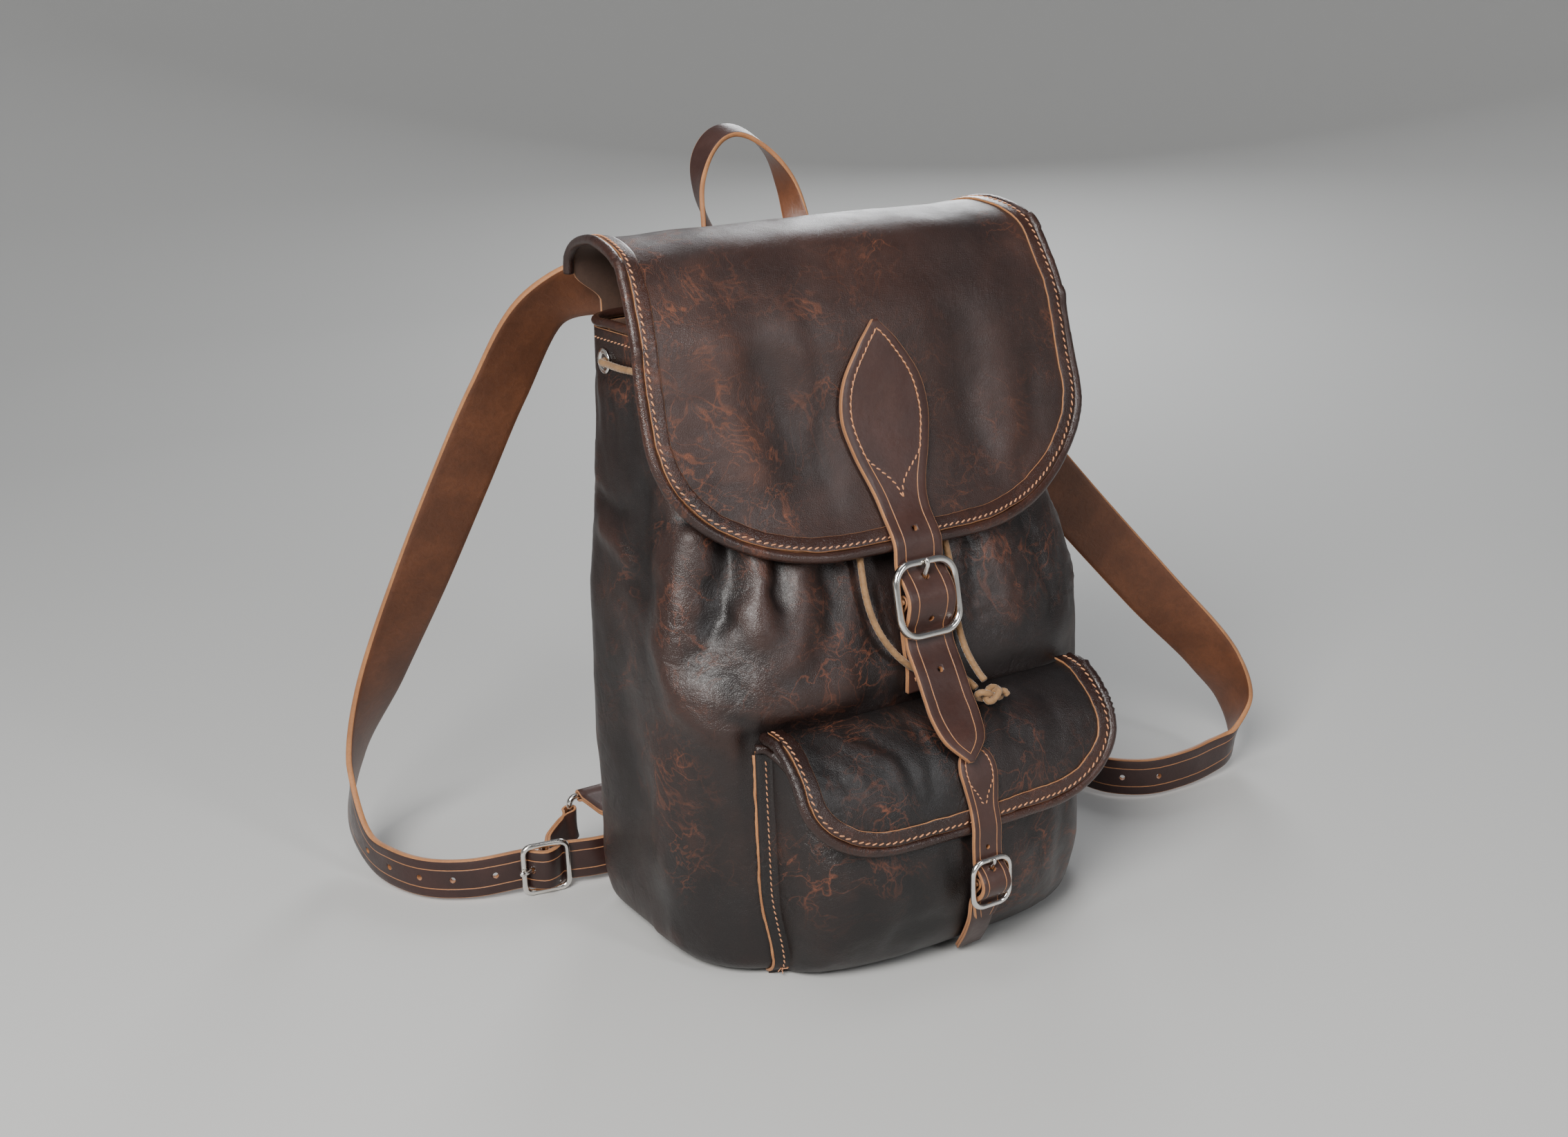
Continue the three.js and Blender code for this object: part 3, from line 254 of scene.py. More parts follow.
# ---- meshes ----
def build(name, points, faces, looks, body, replaces=(), slot=None, marks=None, uv=None):
    """A mesh piece from points in millimetres. looks are its materials, marks each face's material."""
    mesh = bpy.data.meshes.new(name)
    mesh.from_pydata((np.asarray(points, float) * MM).tolist(), [], [tuple(f) for f in faces])
    face_outward(mesh)
    if marks is not None:
        mesh.polygons.foreach_set("material_index", np.asarray(marks, np.int32))
    if uv is not None:
        layer = mesh.uv_layers.new(name="UVMap")
        corner = np.empty(len(mesh.loops), np.int32)
        mesh.loops.foreach_get("vertex_index", corner)
        layer.data.foreach_set("uv", (np.asarray(uv, np.float32)[corner] * MM).ravel())
    obj = add_object(name, mesh)
    for look in looks:
        mesh.materials.append(look)
    mesh.update()
    if replaces:
        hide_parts(*replaces)
    keep_rest(obj)
    if body:
        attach(obj, body)
    return obj


def add_object(name, mesh):
    """A smooth shaded object of a mesh, in the scene."""
    mesh.polygons.foreach_set("use_smooth", np.full(len(mesh.polygons), True))
    obj = bpy.data.objects.new(name, mesh)
    bpy.context.collection.objects.link(obj)
    return obj


def face_outward(mesh):
    work = bmesh.new()
    work.from_mesh(mesh)
    bmesh.ops.recalc_face_normals(work, faces=work.faces)
    work.to_mesh(mesh)
    work.free()


def keep_rest(obj):
    """Where each point is at rest, for the materials: a pattern then stays put when the piece bends."""
    mesh = obj.data
    old = mesh.attributes.get("rest")
    if old:
        mesh.attributes.remove(old)
    co = np.empty(len(mesh.vertices) * 3, np.float32)
    mesh.vertices.foreach_get("co", co)
    mesh.attributes.new("rest", "FLOAT_VECTOR", "POINT").data.foreach_set("vector", co)


def wear(obj, values):
    """How rubbed, 1, or how darkened with painted shade, -1, the leather is at each point."""
    values = np.asarray(values, np.float32).ravel()
    obj.data.attributes.new("wear", "FLOAT", "POINT").data.foreach_set("value", values)


def quads(rows, cols, closed):
    i, j = np.meshgrid(np.arange(rows - 1), np.arange(cols if closed else cols - 1), indexing="ij")
    a = (i * cols + j).ravel()
    b = (i * cols + (j + 1) % cols).ravel()
    return np.stack([a, b, b + cols, a + cols], axis=1)


def grid_normals(grid):
    """Normals of a grid of points: along its rows, cross down its columns."""
    return unit(np.cross(np.gradient(grid, axis=1), np.gradient(grid, axis=0)))


def shell(name, grid, look, body, replaces, worn_and_shaded):
    """A sheet of leather. grid is its outer side, with normals (across x down) pointing out.
    look is its outer side's, and its last argument is the rub wear on ridges and the painted shade in valleys."""
    rows, cols = grid.shape[:2]
    inner = grid - grid_normals(grid) * LEATHER
    points = np.concatenate([grid.reshape(-1, 3), inner.reshape(-1, 3)])
    n = rows * cols
    last = n - cols
    face = quads(rows, cols, False)
    back = face[:, ::-1] + n
    rim = []
    for j in range(cols - 1):
        k = j + 1
        rim.append((k, j, n + j, n + k))
        rim.append((last + j, last + k, n + last + k, n + last + j))
    for a in range(0, last, cols):
        b = a + cols
        rim.append((a, b, n + b, n + a))
        rim.append((b + cols - 1, a + cols - 1, n + a + cols - 1, n + b + cols - 1))
    faces = np.concatenate([face, back, np.array(rim)])
    marks = np.concatenate([np.zeros(len(face)), np.full(len(back), 2), np.ones(len(rim))])
    along_rows = run_length(grid[:, cols // 2])
    across = run_length(grid[rows // 2])
    uv = np.stack(np.meshgrid(across, along_rows), axis=-1).reshape(-1, 2)
    obj = build(name, points, faces, [look, EDGE, INSIDE], body, replaces, "hide", marks,
                np.concatenate([uv, uv]))
    wear(obj, np.concatenate([worn_and_shaded, worn_and_shaded]))
    return obj


def frames(points, hint, closed=False):
    """Two directions across a line at each of its points; hint is the way the first one looks."""
    t = tangents(points, closed)
    side = np.broadcast_to(np.asarray(hint, float), t.shape)
    first = unit(side - t * np.sum(side * t, axis=1, keepdims=True))
    return first, np.cross(t, first)


def parallel_frames(points, closed=False):
    """The same, turned as little as possible along the line."""
    t = tangents(points, closed)
    first = np.zeros_like(t)
    start = np.eye(3)[np.argmin(np.abs(t[0]))]
    first[0] = unit(start - t[0] * start.dot(t[0]))
    for k in range(1, len(t)):
        moved = first[k - 1] - t[k] * first[k - 1].dot(t[k])
        first[k] = unit(moved)
    return first, np.cross(t, first)


def tube_mesh(points, radius, sides=14, closed=False, hint=None, ripple=None):
    """Points, faces and UV of a round bar. radius is one number, or one for each point.
    ripple(angle, length) adds to it."""
    points = np.array(points, float)
    a, b = parallel_frames(points, closed) if hint is None else frames(points, hint, closed)
    angle = np.linspace(0, 2 * np.pi, sides, endpoint=False)
    length = run_length(points)
    r = np.broadcast_to(np.reshape(radius, (-1, 1)), (len(points), sides)).copy()
    if ripple:
        r = r + ripple(angle[None, :], length[:, None])
    around = np.cos(angle)[None, :, None] * a[:, None] + np.sin(angle)[None, :, None] * b[:, None]
    ring = points[:, None] + r[..., None] * around
    faces = [tuple(f) for f in quads(len(points), sides, True)[:, ::-1]]
    count = len(points) * sides
    if closed:
        last = (len(points) - 1) * sides
        faces += [(last + j, j, (j + 1) % sides, last + (j + 1) % sides) for j in range(sides)]
    else:
        faces.append(tuple(range(sides)))
        faces.append(tuple(range(count - 1, count - sides - 1, -1)))
    uv = np.stack(np.broadcast_arrays(angle[None, :] * 2 / np.pi, length[:, None]), axis=-1).reshape(-1, 2)
    return ring.reshape(-1, 3), faces, uv


def tube(name, points, radius, look, body, sides=14, closed=False, hint=None, ripple=None, **more):
    verts, faces, uv = tube_mesh(points, radius, sides, closed, hint, ripple)
    return build(name, verts, faces, [look], body, uv=uv, **more)


def merged(parts):
    """One list of points and faces from several."""
    points, faces, base = [], [], 0
    for p, f in parts:
        points.append(np.asarray(p, float))
        faces += [tuple(i + base for i in face) for face in f]
        base += len(p)
    return np.concatenate(points), faces


def ribbon(stations, pitch):
    """Sections of a flat strap about a pitch apart: where they are, their three directions and half width.
    stations are (at, face, width)."""
    at = np.array([s[0] for s in stations], float)
    face = np.array([s[1] for s in stations], float)
    width = np.array([s[2] for s in stations], float)
    curve = Curve(at)
    last = len(at) - 1
    marks = []
    for k in range(last):
        parts = max(2, int(math.ceil(np.linalg.norm(at[k + 1] - at[k]) / pitch)))
        marks += [k + j / parts for j in range(parts)]
    marks = np.array(marks + [last], float)
    centre = curve.at(marks / last)
    index = np.arange(last + 1)
    look = np.stack([along(np.stack([index, face[:, i]], 1), marks) for i in range(3)], axis=1)
    half = along(np.stack([index, width], 1), marks) / 2
    t = tangents(centre)
    look = unit(look - t * np.sum(look * t, axis=1, keepdims=True))
    return {"at": centre, "face": look, "across": np.cross(t, look), "half": half}


def strap(name, band, thickness, looks, body, columns=8, belly=0.0, **more):
    """A strap's mesh from ribbon(). looks are its grain side, cut edge and flesh side.
    belly swells the middle of its grain side."""
    at, face, across, half = band["at"], band["face"], band["across"], band["half"]
    h = thickness / 2
    bevel = min(0.55, h * 0.4)
    v = np.linspace(-1, 1, columns + 1)
    profile = []  # (share of half width, inset from the edge, height, material of the face after it)
    for x in v:
        profile.append((x, bevel if abs(x) == 1 else 0, h + belly * (1 - x * x), 0))
    profile[-1] = profile[-1][:3] + (1,)
    profile += [(1, 0.12, h - bevel * 0.45, 1), (1, 0, 0, 1), (1, 0.12, bevel * 0.45 - h, 1)]
    for x in v[::-1]:
        profile.append((x, bevel if abs(x) == 1 else 0, -h, 2))
    profile[-1] = profile[-1][:3] + (1,)
    profile += [(-1, 0.12, bevel * 0.45 - h, 1), (-1, 0, 0, 1), (-1, 0.12, h - bevel * 0.45, 1)]
    cols = len(profile)
    share = np.array([p[0] for p in profile])
    inset = np.array([p[1] for p in profile]) * np.sign(share)
    height = np.array([p[2] for p in profile])
    x = share[None, :] * half[:, None] - inset[None, :]
    grid = at[:, None] + x[..., None] * across[:, None] + height[None, :, None] * face[:, None]
    rows = len(at)
    faces = quads(rows, cols, True)
    marks = np.tile([p[3] for p in profile], rows - 1)
    ends = [tuple(range(cols))[::-1], tuple(range((rows - 1) * cols, rows * cols))]
    length = run_length(at)
    edge = half[:, None] - np.abs(x)
    uv = np.stack(np.broadcast_arrays(length[:, None], edge), axis=-1).reshape(-1, 2)
    faces = [tuple(f) for f in faces] + ends
    marks = np.concatenate([marks, [1, 1]])
    return build(name, grid.reshape(-1, 3), faces, looks, body, marks=marks, uv=uv, **more)


def cut(obj, cutters):
    """Cuts tools from a piece and keeps the result as its mesh."""
    for cutter in cutters:
        modifier = obj.modifiers.new("cut", "BOOLEAN")
        modifier.operation = "DIFFERENCE"
        modifier.solver = "EXACT"
        modifier.object = cutter
    bpy.context.view_layer.update()
    graph = bpy.context.evaluated_depsgraph_get()
    mesh = bpy.data.meshes.new_from_object(obj.evaluated_get(graph), preserve_all_data_layers=True,
                                           depsgraph=graph)
    obj.modifiers.clear()
    old, name = obj.data, obj.data.name
    obj.data = mesh
    bpy.data.meshes.remove(old)
    mesh.name = name
    for cutter in cutters:
        bpy.data.objects.remove(cutter)
    keep_rest(obj)


def punch(obj, holes):
    """Round holes through a strap; holes are (at, direction, radius)."""
    reach = 9  # how far a cutter stands out on each side
    cutters = []
    for at, direction, radius in holes:
        line = [at - unit(direction) * reach, at + unit(direction) * reach]
        verts, faces, _ = tube_mesh(line, radius, 14)
        mesh = bpy.data.meshes.new("hole")
        mesh.from_pydata((verts * MM).tolist(), [], faces)
        face_outward(mesh)
        mesh.materials.append(EDGE)
        cutter = bpy.data.objects.new("hole", mesh)
        bpy.context.collection.objects.link(cutter)
        cutters.append(cutter)
    cut(obj, cutters)


def stitches(name, points, normals, body, pitch=3.6, length=2.5, radius=0.42, slant=0.28):
    """A row of sewn stitches along a line on the leather. normals is one direction, or one for each point."""
    points = np.array(points, float)
    normals = np.broadcast_to(np.asarray(normals, float), points.shape)
    steps = run_length(points)
    count = max(1, int(steps[-1] / pitch))
    marks = (np.arange(count) + 0.5) * steps[-1] / count
    at = spread(marks, steps, points)
    up = unit(spread(marks, steps, normals))
    t = unit(spread(marks + 0.4, steps, points) - spread(marks - 0.4, steps, points))
    side = np.cross(up, t)
    t = unit(t + side * slant)
    side = np.cross(up, t)
    # sections of a stitch: place along it, radius and rise, as shares of its length and radius
    rings = [(-0.5, 0.35, -0.35), (-0.36, 0.9, 0.1), (0.0, 1.0, 0.32), (0.36, 0.9, 0.1), (0.5, 0.35, -0.35)]
    sides = 6
    angle = np.linspace(0, 2 * np.pi, sides, endpoint=False)
    parts = []
    ring_faces = [tuple(f) for f in quads(len(rings), sides, True)[:, ::-1]]
    ring_faces += [tuple(range(sides)), tuple(range(len(rings) * sides - 1, (len(rings) - 1) * sides - 1, -1))]
    for p, d, u, s in zip(at, t, up, side):
        verts = []
        for x, r, h in rings:
            for a in angle:
                rise = u * (h * radius + r * radius * math.sin(a))
                verts.append(p + d * (x * length) + rise + s * (r * radius * math.cos(a)))
        parts.append((verts, ring_faces))
    points, faces = merged(parts)
    build(name, points, faces, [THREAD], body)


# ---- materials ----
class Look:
    """A material built node by node."""

    def __init__(self, name):
        self.material = bpy.data.materials.new(name)
        self.material.use_nodes = True
        self.tree = self.material.node_tree
        self.shader = self.tree.nodes["Principled BSDF"]

    def node(self, kind, inputs=None, **settings):
        node = self.tree.nodes.new("ShaderNode" + kind)
        for key, value in settings.items():
            setattr(node, key, value)
        for key, value in (inputs or {}).items():
            self.set(node.inputs[key], value)
        return node

    def set(self, socket, value):
        if isinstance(value, bpy.types.NodeSocket):
            self.tree.links.new(value, socket)
        elif isinstance(value, bpy.types.Node):
            self.tree.links.new(value.outputs[0], socket)
        else:
            socket.default_value = value

    def finish(self, **inputs):
        for key, value in inputs.items():
            self.set(self.shader.inputs[key.replace("_", " ")], value)
        return self.material

    def place(self):
        return self.node("Attribute", attribute_name="rest").outputs["Vector"]

    def along_and_across(self):
        uv = self.node("UVMap", uv_map="UVMap").outputs[0]
        return self.node("SeparateXYZ", {0: uv}).outputs

    def number(self, name):
        return self.node("Attribute", attribute_name=name).outputs["Fac"]

    def noise(self, vector, scale, detail=4, roughness=0.55, distortion=0.0):
        inputs = {"Vector": vector, "Scale": scale, "Detail": detail, "Roughness": roughness,
                  "Distortion": distortion}
        return self.node("TexNoise", inputs).outputs["Fac"]

    def cells(self, vector, scale):
        """Distance to the edge of the nearest of a pattern of cells."""
        node = self.node("TexVoronoi", {"Vector": vector, "Scale": scale}, feature="DISTANCE_TO_EDGE")
        return node.outputs["Distance"]

    def ramp(self, value, low, high, to_low=0.0, to_high=1.0):
        inputs = {"Value": value, "From Min": low, "From Max": high, "To Min": to_low, "To Max": to_high}
        return self.node("MapRange", inputs, interpolation_type="SMOOTHSTEP").outputs["Result"]

    def math(self, operation, a, b=0.0, clamp=False):
        return self.node("Math", {0: a, 1: b}, operation=operation, use_clamp=clamp).outputs[0]

    def mix(self, share, a, b):
        node = self.node("Mix", data_type="RGBA")
        self.set(node.inputs[0], share)
        self.set(node.inputs[6], a)
        self.set(node.inputs[7], b)
        return node.outputs[2]

    def warp(self, vector, scale, amount):
        wobble = self.node("TexNoise", {"Vector": vector, "Scale": scale, "Detail": 3}).outputs["Color"]
        moved = self.node("VectorMath", {0: wobble, 1: (0.5, 0.5, 0.5)}, operation="SUBTRACT").outputs[0]
        scaled = self.node("VectorMath", {0: moved}, operation="SCALE")
        scaled.inputs["Scale"].default_value = amount
        return self.node("VectorMath", {0: vector, 1: scaled.outputs[0]}, operation="ADD").outputs[0]

    def bump(self, height, distance, strength=1.0, normal=None):
        inputs = {"Height": height, "Distance": distance, "Strength": strength}
        if normal is not None:
            inputs["Normal"] = normal
        return self.node("Bump", inputs).outputs[0]


def rgb(r, g, b):
    return (r, g, b, 1.0)


def darker(colour, share):
    return rgb(*(share * np.array(colour)))


def leather(name, dark, middle, rust, rust_amount, crackle, rough):
    """Oiled pull-up leather: mottled dark browns, rusty wisps where it was bent, a fine pebbled grain."""
    look = Look(name)
    place = look.place()
    warped = look.warp(place, 9.0, 0.05)
    patches = look.ramp(look.noise(warped, 9.0, 4, 0.55), 0.36, 0.68)
    fine = look.noise(place, 160.0, 6, 0.6)
    colour = look.mix(patches, rgb(*dark), rgb(*middle))
    # wisps: hair lines where stretched noises cross their middle value
    wisp_place = look.warp(place, 16.0, 0.045)
    where = look.ramp(look.noise(look.warp(place, 14.0, 0.03), 11.0, 3, 0.5), 0.42, 0.68)
    veins = 0.0
    for scale, width, share in ((14.0, 0.009, 0.8), (26.0, 0.012, 0.7), (48.0, 0.018, 0.5)):
        wisp = look.noise(wisp_place, scale, 4, 0.55, 0.7)
        line = look.math("ABSOLUTE", look.math("SUBTRACT", wisp, 0.5))
        veins = look.math("ADD", veins, look.ramp(line, 0.0, width, share, 0.0))
    haze = look.ramp(look.noise(wisp_place, 40.0, 6, 0.6, 0.4), 0.46, 0.86, 0.0, 0.42)
    amount = look.math("MULTIPLY", where, rust_amount)
    veins = look.math("MULTIPLY", look.math("ADD", veins, haze), amount, clamp=True)
    worn_and_shaded = look.number("wear")
    colour = look.mix(veins, colour, rgb(*rust))
    # ridges of the folds rubbed lighter
    rubbed = 0.2 * np.array(rust) + 1.0 * np.array(middle)
    colour = look.mix(look.math("MULTIPLY", look.ramp(worn_and_shaded, 0.0, 1.0), 0.35), colour, rgb(*rubbed))
    # painted shade: the valleys of the folds darkened
    colour = look.mix(look.math("MULTIPLY", look.ramp(worn_and_shaded, 0.0, -1.0), 0.6), colour, darker(dark, 0.5))
    colour = look.mix(look.ramp(fine, 0.3, 0.75, 0.0, 0.22), colour, darker(dark, 0.5))
    # relief: pebbled grain, hair-line creases, soft unevenness
    pebble = look.ramp(look.cells(look.warp(place, 500.0, 0.0008), 950.0), 0.0, 0.35)
    fold_mask = look.ramp(look.noise(place, 15.0, 2, 0.5), 0.44, 0.7)
    folds = look.ramp(look.cells(look.warp(place, 30.0, 0.028), 62.0), 0.0, 0.14)
    small_folds = look.ramp(look.cells(look.warp(place, 70.0, 0.014), 150.0), 0.0, 0.2)
    soft = look.noise(place, 34.0, 3, 0.45)
    normal = look.bump(soft, 0.0016, 0.45)
    creases = look.math("ADD", folds, look.math("MULTIPLY", small_folds, 0.5))
    normal = look.bump(look.math("MULTIPLY", creases, fold_mask), 0.0009 * crackle, 0.45, normal)
    normal = look.bump(pebble, 0.00014, 0.6, normal)
    normal = look.bump(fine, 0.0005, 0.6, normal)
    gloss = look.math("ADD", look.ramp(look.noise(place, 26.0, 5, 0.6), 0.3, 0.7, rough - 0.06, rough + 0.08),
                      look.math("MULTIPLY", veins, 0.1))
    return look.finish(Base_Color=colour, Roughness=gloss, Normal=normal, Specular_IOR_Level=0.5,
                       Coat_Weight=0.08, Coat_Roughness=0.3)


def strap_leather(name, base, shade, groove, line_at, line_width=0.00034, rough=0.4):
    """Bridle leather: smooth, fine grained, with a scored line beside each edge.
    UV is the length along it and the distance from its edge."""
    look = Look(name)
    place = look.place()
    patches = look.ramp(look.noise(place, 24.0, 5, 0.6, 0.4), 0.35, 0.68)
    fine = look.noise(place, 420.0, 6, 0.65)
    colour = look.mix(patches, rgb(*base), rgb(*shade))
    colour = look.mix(look.ramp(fine, 0.35, 0.75, 0.0, 0.35), colour, darker(base, 0.55))
    wobble = look.math("MULTIPLY", look.math("SUBTRACT", look.noise(place, 60.0, 2), 0.5), 0.0006)
    edge = look.math("ADD", look.along_and_across()[1], wobble)
    off = look.math("ABSOLUTE", look.math("SUBTRACT", edge, line_at))
    scored = look.ramp(off, line_width * 0.5, line_width * 1.5, 1.0, 0.0)
    colour = look.mix(look.math("MULTIPLY", scored, look.ramp(fine, 0.2, 0.6, 0.55, 0.95)), colour,
                      rgb(*groove))
    normal = look.bump(look.math("MULTIPLY", scored, -1.0), 0.0005, 0.8)
    normal = look.bump(look.noise(place, 90.0, 4, 0.5), 0.0006, 0.4, normal)
    normal = look.bump(fine, 0.00022, 0.55, normal)
    gloss = look.ramp(look.noise(place, 70.0, 5, 0.6), 0.3, 0.7, rough - 0.06, rough + 0.1)
    return look.finish(Base_Color=colour, Roughness=gloss, Normal=normal, Coat_Weight=0.08, Coat_Roughness=0.3)


def fibrous(name, base, other, rough=0.75, sheen=0.15, scale=300.0):
    """Cut edges and the flesh side of leather."""
    look = Look(name)
    place = look.place()
    fibre = look.noise(place, scale, 6, 0.7, 0.6)
    patch = look.noise(place, 30.0, 4, 0.6)
    colour = look.mix(look.ramp(patch, 0.35, 0.65), rgb(*base), rgb(*other))
    colour = look.mix(look.ramp(fibre, 0.35, 0.75, 0.0, 0.5), colour, darker(base, 0.5))
    normal = look.bump(fibre, 0.0004, 0.6)
    return look.finish(Base_Color=colour, Roughness=rough, Normal=normal, Sheen_Weight=sheen,
                       Sheen_Roughness=0.5)


def nickel(name):
    look = Look(name)
    place = look.place()
    smear = look.noise(place, 130.0, 5, 0.6)
    colour = look.mix(look.ramp(smear, 0.4, 0.8, 0.0, 0.5), rgb(0.83, 0.81, 0.77), rgb(0.62, 0.59, 0.54))
    gloss = look.ramp(smear, 0.35, 0.75, 0.1, 0.26)
    normal = look.bump(look.noise(place, 600.0, 4, 0.6), 0.00004, 0.5)
    return look.finish(Base_Color=colour, Metallic=1.0, Roughness=gloss, Normal=normal)


def braided(name, base, other):
    """Fibrous cord. Its braid is in the mesh."""
    look = Look(name)
    place = look.place()
    fibre = look.noise(place, 1500.0, 3, 0.6)
    shade = look.noise(place, 220.0, 3, 0.5)
    colour = look.mix(look.ramp(shade, 0.35, 0.7), rgb(*base), rgb(*other))
    colour = look.mix(look.ramp(fibre, 0.3, 0.8, 0.0, 0.45), colour, darker(base, 0.45))
    normal = look.bump(fibre, 0.0002, 0.6)
    return look.finish(Base_Color=colour, Roughness=0.72, Normal=normal, Sheen_Weight=0.35, Sheen_Roughness=0.4)


def thread(name, base, other):
    look = Look(name)
    place = look.place()
    colour = look.mix(look.ramp(look.noise(place, 500.0, 3), 0.35, 0.7), rgb(*base), rgb(*other))
    twist = look.noise(place, 2200.0, 2)
    return look.finish(Base_Color=colour, Roughness=0.62, Normal=look.bump(twist, 0.0001, 0.5),
                       Sheen_Weight=0.2)


RUST = (0.16, 0.05, 0.024)
PALE_RUST = (0.16, 0.052, 0.024)
TAN = (0.46, 0.2, 0.085)
BRIDLE = (0.055, 0.023, 0.0175)
BRIDLE_SHADE = (0.037, 0.0155, 0.012)
BODY = leather("body_leather", (0.0085, 0.0054, 0.0052), (0.025, 0.0122, 0.0098), RUST, 0.9, 0.4, 0.43)
FLAP_LOOK = leather("flap_leather", (0.019, 0.0092, 0.0075), (0.042, 0.019, 0.0142), PALE_RUST, 0.75,
                    0.14, 0.45)
POCKET_LOOK = leather("pocket_leather", (0.0062, 0.0046, 0.0045), (0.0155, 0.0086, 0.0076), RUST, 0.85,
                      0.4, 0.42)
BINDING = leather("binding_leather", (0.018, 0.0078, 0.0062), (0.042, 0.0172, 0.012), (0.16, 0.052, 0.025), 0.4,
                  0.08, 0.3)
INSIDE = fibrous("leather_inside", (0.085, 0.042, 0.026), (0.06, 0.03, 0.019), 0.8)
EDGE = fibrous("cut_edge", (0.46, 0.2, 0.075), (0.33, 0.135, 0.05), 0.62, 0.1, 700.0)
STRAP = strap_leather("closing_strap_leather", BRIDLE, BRIDLE_SHADE, TAN, 0.0062)
PLAIN_STRAP = strap_leather("plain_strap_leather", BRIDLE, BRIDLE_SHADE, TAN, 0.5)  # a line too far in to show
SMALL_STRAP = strap_leather("small_strap_leather", (0.058, 0.024, 0.018), (0.038, 0.016, 0.012), TAN,
                            0.0036, 0.0003)
SHOULDER = strap_leather("shoulder_leather", (0.04, 0.0165, 0.0135), (0.026, 0.011, 0.0095), TAN, 0.0062,
                         0.00034, 0.34)
FLESH = fibrous("strap_flesh_side", (0.15, 0.052, 0.021), (0.1, 0.034, 0.014), 0.42, 0.05, 260.0)
METAL = nickel("polished_nickel")
CORD = braided("tan_cord", (0.3, 0.165, 0.07), (0.21, 0.115, 0.05))
THREAD = thread("tan_thread", (0.62, 0.27, 0.12), (0.46, 0.19, 0.08))
STRIP_LOOKS = [PLAIN_STRAP, EDGE, FLESH]


# ---- the camera ----
def make_camera():
    data = bpy.data.cameras.new("camera")
    data.lens, data.sensor_width, data.sensor_fit = 43.3, 36.0, "HORIZONTAL"
    data.clip_start, data.clip_end = 0.01, 50
    camera = bpy.data.objects.new("camera", data)
    bpy.context.collection.objects.link(camera)
    forward = Vector((0.4940, 0.8179, -0.2949)).normalized()
    right = Vector((0.8505, -0.5251, -0.0317)).normalized()
    up = right.cross(forward).normalized()
    turn = Matrix((right, up, -forward)).transposed().to_4x4()
    camera.matrix_world = Matrix.Translation((-0.582, -0.893, 0.534)) @ turn
    bpy.context.scene.camera = camera


make_camera()

# ---- drawstring ----
KNOT_AT = V(27, -104.5, 150.6)
DRAWSTRING_LEFT = [[-20, -26.4, 338], [-21, -29.5, 334], [-24, -31.5, 318], [-27, -37.5, 295], [-29, -47, 268],
                   [-31, -57.5, 247], [-32, -62.3, 237], [-33.5, -66.6, 228], [-35, -72.6, 214],
                   [-34, -77, 202],
                   [-30, -81, 190], [-22, -84.6, 178], [-11, -85.8, 168.5], [3, -86.2, 162.5], [13, -86.6, 160],
                   [19.5, -88.5, 157.5], [22, -92.5, 155], [22.5, -96.6, 153]]
DRAWSTRING_RIGHT = [[20, -26.4, 338], [21, -29.5, 334], [23, -31, 318], [24.5, -37, 295], [25, -46.5, 268],
                    [25, -58, 245], [25, -65.5, 230], [24.5, -72, 214], [24, -75.5, 200], [23, -79.5, 187],
                    [23, -87, 173], [25, -95.5, 162], [26, -100.5, 157.8]]


def braid(angle, length):
    """Two sets of four strands crossing round the cord, with one turn in 14 mm of it."""
    turn = 4 * np.pi * (length / 7.0)
    return 0.2 * np.maximum(np.sin(4 * angle + turn), np.sin(4 * angle - turn)) - 0.14


def cord_piece(name, points, replaces):
    """A braided cord through points, with its middle line and length."""
    curve = Curve(points)
    line = curve.at_length(np.arange(0, curve.length + CORD_PITCH / 2, CORD_PITCH))
    verts, faces, uv = tube_mesh(line, CORD_RADIUS, 16, ripple=braid)
    obj = build(name, verts, faces, [CORD], None, replaces, "paracord", uv=uv)
    return obj, line, curve.length


def make_drawstring():
    # a trefoil, pressed together to the size of the knot
    knot_path = []
    for t in np.linspace(0, 2 * np.pi, 60, endpoint=False):
        wave = V(math.sin(t) + 2 * math.sin(2 * t), math.cos(t) - 2 * math.cos(2 * t), -math.sin(3 * t))
        knot_path.append(KNOT_AT + wave * V(2.9, 1.6, 2.6))
    verts, faces, uv = tube_mesh(resample(knot_path, CORD_PITCH, True), CORD_RADIUS * 0.98, 12, True,
                                 ripple=braid)
    knot = build("drawstring_knot_cord", verts, faces, [CORD], POCKET_FLAP, ["drawstring_knot"],
                 "paracord", uv=uv)
    # the end that peeps out of the knot
    tip = Curve([KNOT_AT + V(4, -1, 1), KNOT_AT + V(7.5, -2.6, 1.2), KNOT_AT + V(9.2, -3.6, -1.2)])
    verts, faces, uv = tube_mesh(tip.at(np.linspace(0, 1, 16)), CORD_RADIUS - 0.15, 12, ripple=braid)
    end = build("drawstring_tip", verts, faces, [CORD], POCKET_FLAP, [], "paracord", uv=uv)
    for name, points, side in (("left", DRAWSTRING_LEFT, 0), ("right", DRAWSTRING_RIGHT, 1)):
        obj, line, length = cord_piece(f"drawstring_{name}_cord", points, [f"drawstring_{name}"])
        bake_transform(obj)


make_drawstring()


